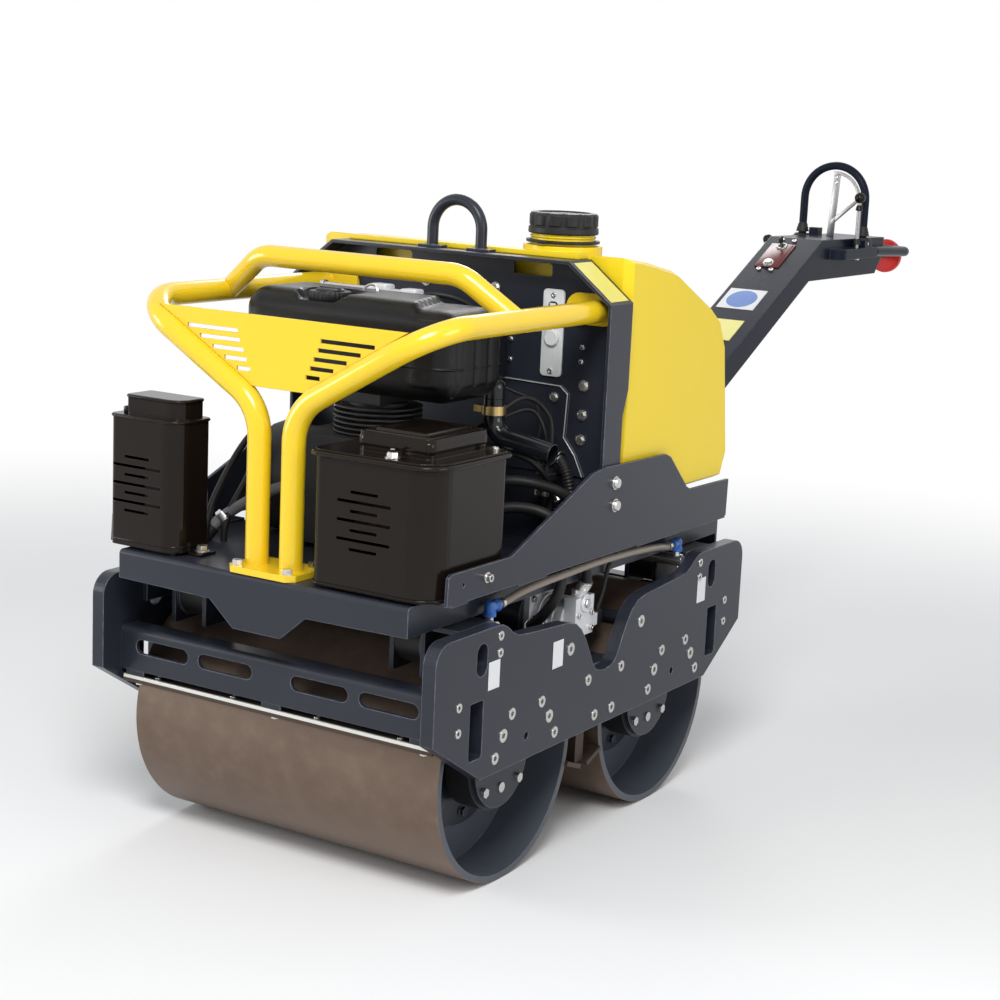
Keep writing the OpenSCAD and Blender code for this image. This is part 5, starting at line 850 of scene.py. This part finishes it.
def buildHoses():
    parts = []
    for route in hoses["drive"]:
        path = smoothPath(route, 10)
        parts += ["rubber", tubeShape(path, hoses["driveRadius"]), "zinc"]
        for line in (path, path[::-1]):
            way = line[1] - line[0]
            parts += [crimpedSleeve(line), hexShape(line[0] + way.normalized() * 0.5, *hoses["nut"], way)]
    finishPiece("driveHoses", "hose_rubber", parts, "hydraulic_hoses")
    parts = ["waterHose", smoothTube(hoses["water"], 8, hoses["waterRadius"], 16)]
    finishPiece("sprinklerHose", "clear_hose", parts, "water_hoses")
    look, parts = hoses["elbow"], []
    x, z, (reach, r) = look["x"], look["z"], look["arm"]
    for s in (-1, 1):
        y, inward = s * look["y"], (0, -s, 0)
        parts += ["bluePlastic", spunShape(look["foot"], (x, y, look["footZ"]), steps=24),
                  rodShape((x, y, z), (x, y - s * reach, z), r),
                  spunShape(look["collar"], (x, y - s * look["collarIn"], z), inward, 24),
                  "zinc", spunShape(look["ferrule"], (x, y - s * look["ferruleIn"], z + look["ferruleUp"]),
                                    inward, 24)]
    finishPiece("hoseElbows", "blue_plastic", parts, "water_elbows")


# exciter motor's outside
motorTrim = {
    "castSilver": [(spunShape, [(42, -2), (44.6, -1.4), (44.6, 1.4), (42, 2), (42, -2)], (x, 0, 400),
                    (1, 0, 0), 48) for x in (240, 250, 260, 270)]
    + [(spunShape, [(0, 0), (17, 0), (17, 3), (15, 5), (13, 5), (13, 3), (0, 3)], (314, 0, 438), (1, 0, 0)),
       (rodShape, (301.5, 0, 448), (301.5, 0, 456), 14, 24)],
    "zinc": [(hexShape, (314, 0, 438), 15, 8, (1, 0, 0)), (hexShape, (252, -56, 400), 30, 9, (0, -1, 0)),
             (rodShape, (301.5, 46, 400), (301.5, 60, 400), 9)]
    + [(screwShape, (227, y, z), 6.5, 7, (1, 0, 0)) for y in (-38, 38) for z in (362, 438)]
    + [(screwShape, (314, y, z), 5.5, 5, (1, 0, 0)) for y in (-22, 22) for z in (390, 418)],
    "mattBlack": [(boxShape, (292, 48, 388), (312, 72, 414), 3)],
    "rubber": [(smoothTube, [(302, 66, 412), (306, 76, 440), (310, 84, 484), (316, 92, 512)], 5, 4, 10)],
}


def buildMotorTrim():
    finishPiece("exciterMotorTrim", "silver", motorTrim)


# level gauge
gauge = {"corner": 8, "boss": [(0, 0), (15, 0), (15, 5), (13, 7), (0, 7)], "bossAt": (23, 70), "screwIn": 10,
         "tube": (13, 92, 22, 6), "floatBar": (16, 100, 132)}


def buildGauge():
    (x0, front, z0), (x1, back, z1) = nodeBox("level_gauge")
    plate = outlineShape(roundedOutline(x0, x1, z0, z1, [gauge["corner"]] * 4), "y", front, back, 1.4)
    across, up = gauge["bossAt"]
    boss = spunShape(gauge["boss"], (x0 + across, front + 0.5, z0 + up), (0, -1, 0))
    parts = ["whitePlastic", plate, boss, "zinc"]
    for z in (z0 + gauge["screwIn"], z1 - gauge["screwIn"]):
        parts.append(screwShape(((x0 + x1) / 2, front, z), 5, 3, (0, -1, 0)))
    side, below, above, corner = gauge["tube"]
    outline = roundedOutline(x0 + side, x1 - side, z0 + below, z1 - above, [corner] * 4)
    parts += ["mattBlack", outlineShape(outline, "y", front - 2.5, front + 1, 1)]
    side, start, end = gauge["floatBar"]
    bar = boxShape((x0 + side, front - 3.6, z0 + start), (x1 - side, front - 1, z0 + end), 0.8)
    finishPiece("levelGaugeBody", "white_plastic", parts + ["whitePlastic", bar], "level_gauge")


# plain plates where the real one carries words or signs
plates = {"thick": 0.8, "round": 0.3, "sideX": 362, "sidePlaces": ((-376, 396), (-171, 388), (370, 403)),
          "sideSize": (17, 24), "cornerFrom": (259, 1047), "cornerTo": (348, 978), "cornerAcross": (-17, 45),
          "cornerEnds": 6, "disc": (-12, 760, 37),
          "arm": (((-60, 716), (36, 804), "labelPlate"), ((-56, 582), (38, 668), "labelYellow"))}
arm = {"pivot": (0, 590, 509), "turn": math.radians(27.2), "top": 29}


def plateShape(low, high, z):
    return boxShape((*low, z), (*high, z + plates["thick"]), plates["round"], 1)


def alongArm(shape):
    # from (across, along, up) of the tiller's arm to the frame
    c, s = math.cos(arm["turn"]), math.sin(arm["turn"])
    shape.transform(axesMatrix((1, 0, 0), (0, c, s), (0, -s, c), arm["pivot"]))


def buildPlates():
    x, t, (w, h), size = plates["sideX"], plates["thick"], plates["sideSize"], plates["round"]
    tags = [boxShape((x, y - w, z - h), (x + t, y + w, z + h), size, 1) for y, z in plates["sidePlaces"]]
    finishPiece("sidePlateTags", "white_plastic", ["labelPlate", *tags])
    (xa, za), (xb, zb), end = plates["cornerFrom"], plates["cornerTo"], plates["cornerEnds"]
    length, (y0, y1) = math.hypot(xb - xa, zb - za), plates["cornerAcross"]
    tag = plateShape((end, y0), (length - end, y1), 0)
    c, s = (xb - xa) / length, (za - zb) / length
    tag.transform(axesMatrix((c, 0, -s), (0, 1, 0), (s, 0, c), (xa, 0, za)))
    finishPiece("cornerTag", "white_plastic", ["labelYellow", tag])
    top, parts = arm["top"], []
    for low, high, look in plates["arm"]:
        parts += [look, plateShape(low, high, top)]
    x, along, r = plates["disc"]
    disc = spunShape([(0, 0), (r, 0), (r, 0.3), (0, 0.4)], (x, along, top + t - 0.05), steps=48)
    finishPiece("armTags", "white_plastic", parts + ["bluePlastic", disc], body="tiller", moved=alongArm)


# controls on the tiller
hoop = {"y": 1730.08, "pivotZ": 1003.03, "tall": 188, "half": 82, "radius": 10,
        "blade": [(-15, 1007), (3, 1007), (11, 1171), (-5, 1171)], "bladeHalf": 2.5,
        "brace": [(-6, 1041), (62, 1103), (62, 1114), (-6, 1055)], "braceHalf": 2.4, "rim": (68, 60),
        "pin": (60, 99, 5), "hub": (73, 91, 9), "rivetZ": (1150, 1163), "collarZ": 1022,
        "collar": [(9.8, 0), (16, 0), (16, 2), (14.5, 6), (14.5, 10), (12.5, 13), (12.5, 17), (9.8, 22)]}


def buildHoop():
    # dark tube with a bright blade, brace and rim
    y, pivot, half = hoop["y"], hoop["pivotZ"], hoop["half"]
    arch = pivot + hoop["tall"] - half
    leg = (pivot - 2, pivot + 30, arch - 20)
    outline = [(half, z) for z in leg] + arcPoints(half, range(0, 181, 6), 0, arch)
    outline += [(-half, z) for z in leg[::-1]]
    parts = ["tillerPaint", tubeShape([(x, y, z) for x, z in outline], hoop["radius"], 24), "brushedSteel"]
    outer, inner = hoop["rim"]
    rim = arcPoints(outer, range(0, 97, 8), 0, arch) + arcPoints(inner, range(96, -1, -8), 0, arch)
    for bar, thick in ((hoop["blade"], hoop["bladeHalf"]), (hoop["brace"], hoop["braceHalf"]),
                       (rim, hoop["bladeHalf"])):
        parts.append(outlineShape(bar, "y", y - thick, y + thick, 0.8))
    for s in (-1, 1):
        for look, (start, end, r) in (("zinc", hoop["pin"]), ("tillerPaint", hoop["hub"])):
            parts += [look, rodShape((s * start, y, pivot), (s * end, y, pivot), r)]
    parts += ["zinc"] + [screwShape((2, y - hoop["bladeHalf"], z), 4, 3, (0, -1, 0)) for z in hoop["rivetZ"]]
    parts += ["rubber"] + [spunShape(hoop["collar"], (x, y, hoop["collarZ"]), steps=28)
                           for x in (-half, half)]
    finishPiece("hoopTube", "dark_paint", parts, "travel_hoop", body="hoop")


vibration = {"foot": (86, 1685.08, 972.03), "tall": 145, "rod": 5.3, "ball": 13.6,
             "pins": ((-8, 8, 9), (-26, -7, 4)), "bootRise": 30, "neckShare": 0.78,
             "boot": [(5, 0), (9.5, 0), (9, 3), (7.5, 8), (5.2, 15)],
             "neck": [(5, 0), (9, 1), (8, 9), (5.5, 14)]}
throttle = {"foot": (-87, 1501.08, 975.03), "length": 48, "lean": 42, "rod": 4, "ball": 12.6,
            "pins": ((-4.5, 4.5, 10), (0, 26, 4))}


def acrossFoot(look):
    # the short pins that cross a lever's foot
    foot = Vector(look["foot"])
    return ["zinc"] + [rodShape(foot + Vector((a, 0, 0)), foot + Vector((b, 0, 0)), r)
                       for a, b, r in look["pins"]]


def buildLevers():
    look = vibration
    foot = Vector(look["foot"])
    way = Vector((0, 0, look["tall"]))
    parts = ["brushedSteel", rodShape(foot, foot + way, look["rod"]),
             "blackPlastic", ballShape(look["ball"], foot + way), *acrossFoot(look),
             "rubber", spunShape(look["boot"], foot + Vector((0, 0, look["bootRise"])), way, 24),
             "blackPlastic", spunShape(look["neck"], foot + way * look["neckShare"], way, 24)]
    finishPiece("vibrationLeverBody", "zinc", parts, "vibration_lever", body="vibration")
    look = throttle
    foot, lean = Vector(look["foot"]), math.radians(look["lean"])
    knob = foot + look["length"] * Vector((0, math.cos(lean), math.sin(lean)))
    parts = ["brushedSteel", rodShape(foot, knob, look["rod"]),
             "blackPlastic", ballShape(look["ball"], knob, knob - foot), *acrossFoot(look)]
    finishPiece("throttleLeverBody", "zinc", parts, "throttle_lever", body="throttle")


switchPanel = {  # in (across, along, up) of the arm, as the key
    "redPanel": [(boxShape, (-49, 909, 29), (15, 1019, 32), 1.4),
                 (boxShape, (-43, 915, 31.5), (9, 1013, 33), 1)],
    "brushedSteel": [(spunShape, [(9.3, 0), (13.5, 0), (14, 1), (13, 4), (9.3, 4), (9.3, 0)],
                      (-17, along, 31.5)) for along in (1005, 924)],
    "zinc": [(screwShape, (x, along, 29), 6, 4) for along in (898, 1038) for x in (-31, 1)],
}
keyBody = {"mattBlack": [(spunShape, [(0, 0), (8.4, 0), (8.8, 1), (8.8, 5), (0, 5.6)], (-17, 1005, 30),
                          (0, 0, 1), 28),
                         (boxShape, (-20, 996, 44), (-14, 1014, 58), 2.6)],
           "brushedSteel": [(boxShape, (-18.5, 999, 35), (-15.5, 1011, 47), 1)]}


def buildSwitches():
    finishPiece("switchPanel", "red_plastic", switchPanel, "control_panel", body="tiller", moved=alongArm)
    finishPiece("keyBody", "zinc", keyBody, "key_switch", body="key", moved=alongArm)


stopPad = {"thick": 24, "rod": 5.8, "rodIn": 20,
           "face": [(0, 0), (30, 0), (43, 1.5), (44.5, 5), (44.5, 14), (42.5, 18.5), (36, 22), (20, 23.6),
                    (0, 24)]}
boots = {"z": 1012, "ring": [(13.6, 0), (21, 0), (20.5, 3), (18, 5.5), (13.6, 5.5), (13.6, 0)],
         "tag": ((-76, 1560, 1012.4), (-34, 1604, 1014.4))}


def buildStopPad():
    # mushroom on a rod, then the rings round the hoop's feet, open enough for its tilt
    low, high = nodeBox("stop_pad")
    z, face = (low[2] + high[2]) / 2, high[1]
    parts = ["redPlastic", spunShape(stopPad["face"], (0, face - stopPad["thick"], z), (0, 1, 0), 64),
             "brushedSteel", rodShape((0, low[1], z), (0, face - stopPad["rodIn"], z), stopPad["rod"])]
    finishPiece("stopPadBody", "red_plastic", parts, "stop_pad", body="stop")
    y, z, half = hoop["y"], boots["z"], hoop["half"]
    rings = [spunShape(boots["ring"], (x, y, z), steps=28) for x in (-half, half)]
    finishPiece("tillerBoots", "rubber", ["rubber", *rings, "labelOrange", boxShape(*boots["tag"], 0.6)],
                body="tiller")


# scrapers' bright edges and their screws
scraperEdge = {"ends": 0.5, "over": 0.7, "deep": 4, "below": 5, "above": 1.1, "screwX": (-260, -90, 90, 260),
               "screwIn": 14}


def buildScraperEdge():
    look = scraperEdge
    low, high = nodeBox("outer_scrapers")
    z, parts = high[2], []
    for s, y in ((-1, low[1]), (1, high[1])):
        y0, y1 = sorted((y + s * look["over"], y - s * look["deep"]))
        parts += ["brightEdge", boxShape((low[0] + look["ends"], y0, z - look["below"]),
                                         (high[0] - look["ends"], y1, z + look["above"]), 0.4, 1)]
        parts += ["zinc"] + [screwShape((x, y - s * look["screwIn"], z), 7, 4) for x in look["screwX"]]
    finishPiece("scraperEdges", "bare_steel", parts)


# what shows between the engine and the support
engineRoom = {
    "cables": (
        ([(120, -140, 728), (150, -100, 756), (190, -40, 800), (232, -20, 770), (240, -22, 710),
          (230, -12, 664)], 4.5),
        ([(120, -160, 728), (152, -110, 750), (206, -52, 782), (238, -44, 745), (226, -16, 664)], 3.5),
        ([(120, -20, 814), (150, -4, 802), (186, 6, 786), (200, 4, 742), (196, 2, 700), (216, -8, 655)], 3),
        ([(120, -150, 715), (150, -116, 722), (190, -96, 712), (236, -70, 690), (256, -40, 640),
          (250, -44, 580), (246, -46, 527)], 5)),
    "ribbed": ([(228, -12, 676), (244, -18, 702), (268, -24, 686), (284, -26, 650), (290, -24, 604),
                (288, -20, 560), (286, -18, 527)],
               [(232, -12, 640), (252, -20, 634), (262, -24, 604), (262, -26, 560), (262, -26, 527)]),
    "ribbedRadius": 10, "valley": 0.86, "sleeveFrom": 12, "sleeve": (22, 2.5), "plug": (1, 12, 3),
}
canister = {  # with the band that holds it to the bracket plate
    "mattBlack": [(rodShape, (226, -10, 606), (226, -10, 668), 20, 32, 3),
                  (discShape, (226, -10, 654), 22, 5)],
    "castDark": [(hexShape, (226, -10, 668), 26, 12)],
    "zinc": [(discShape, (226, -10, 626), 21.5, 14), (boxShape, (212, 2, 626), (240, 23.2, 640), 1)],
}
filterClamp = {  # behind the fuel tank's top, from the air filter to a valve on the support's plate
    "zinc": [(rodShape, (-205, -110, 968), (-20, -110, 968), 9),
             (hexShape, (-205, -110, 968), 22, 8, (-1, 0, 0)),
             (hexShape, (-84, -60, 924), 26, 10, (0, -1, 0))],
    "castSilver": [(boxShape, (-96, -128, 957), (-58, -96, 984), 4),
                   (boxShape, (-28, -128, 931.5), (6, -96, 980), 4)],
    "castDark": [(boxShape, (-96, -100, 940), (-72, -50, 960), 2),
                 (boxShape, (-112, -60, 904), (-56, 30.2, 958), 5)],
    "rubber": [(smoothTube, [(-10, -100, 966), (30, -90, 972), (70, -60, 960), (90, -24, 928)], 8, 5, 10)],
}
leftLines = {  # a cable and a sleeved line with its connector, behind the left guard
    "rubber": [(smoothTube, [(-230, -406, 527), (-232, -400, 560), (-236, -380, 600), (-238, -330, 660),
                             (-226, -300, 704), (-206, -292, 722), (-190, -312, 698), (-196, -334, 644),
                             (-210, -360, 590), (-214, -372, 555), (-215, -374, 527)], 8, 6, 12)],
    "greySleeve": [(smoothTube, [(-100, -306, 640), (-128, -338, 632), (-180, -352, 604),
                                 (-224, -364, 572), (-240, -384, 548)], 8, 10, 14)],
    "mattBlack": [(rodShape, (-236, -378, 554), (-248, -398, 526), 13)],
    "zinc": [(hexShape, (-222, -362, 573), 28, 12, (-10, -14, -14))],
}


def buildEngineRoom():
    parts = {"rubber": [smoothTube(points, 8, r, 10) for points, r in engineRoom["cables"]], "machined": [],
             **{look: list(shapes) for look, shapes in canister.items()}}
    r, valley, start = engineRoom["ribbedRadius"], engineRoom["valley"], engineRoom["sleeveFrom"]
    (length, over), (low, high, wider) = engineRoom["sleeve"], engineRoom["plug"]
    for points in engineRoom["ribbed"]:
        path = smoothPath(points, 14)
        way, end = (path[start + 8] - path[start]).normalized(), path[-1]
        parts["rubber"].append(tubeShape(path, [r if n % 2 else r * valley for n in range(len(path))]))
        parts["machined"].append(rodShape(path[start], path[start] + way * length, r + over, 24))
        parts["mattBlack"].append(
            rodShape(end + Vector((0, 0, low)), end + Vector((0, 0, high)), r + wider, 24))
    finishPiece("engineLines", "hose_rubber", parts)
    finishPiece("filterClamp", "silver", filterClamp)
    finishPiece("leftLines", "hose_rubber", leftLines)


bracketEdgeHighlight = {"y": 22.8, "corners": [(100, 822), (226, 819), (242, 806), (238, 727), (262, 697), (280, 660)],
               "steps": 4, "radius": 1.0}


def buildBracketEdgeHighlight():
    # painted highlight: a pale strip along the edge of the bracket plate on the support
    y, corners, steps, path = bracketEdgeHighlight["y"], bracketEdgeHighlight["corners"], bracketEdgeHighlight["steps"], []
    for (xa, za), (xb, zb) in zip(corners, corners[1:]):
        path += [(xa + (xb - xa) * k / steps, y, za + (zb - za) * k / steps) for k in range(steps)]
    path.append((corners[-1][0], y, corners[-1][1]))
    finishPiece("bracketEdgeHighlight", "dark_paint", ["brightEdge", tubeShape(path, bracketEdgeHighlight["radius"], 6)])


for build in (buildFuelTank, buildFuelCap, buildWaterCap, buildGuards, buildHoses, buildMotorTrim, buildGauge,
              buildPlates, buildHoop, buildLevers, buildSwitches, buildStopPad, buildScraperEdge,
              buildEngineRoom, buildBracketEdgeHighlight):
    build()
    print("made", build.__name__)
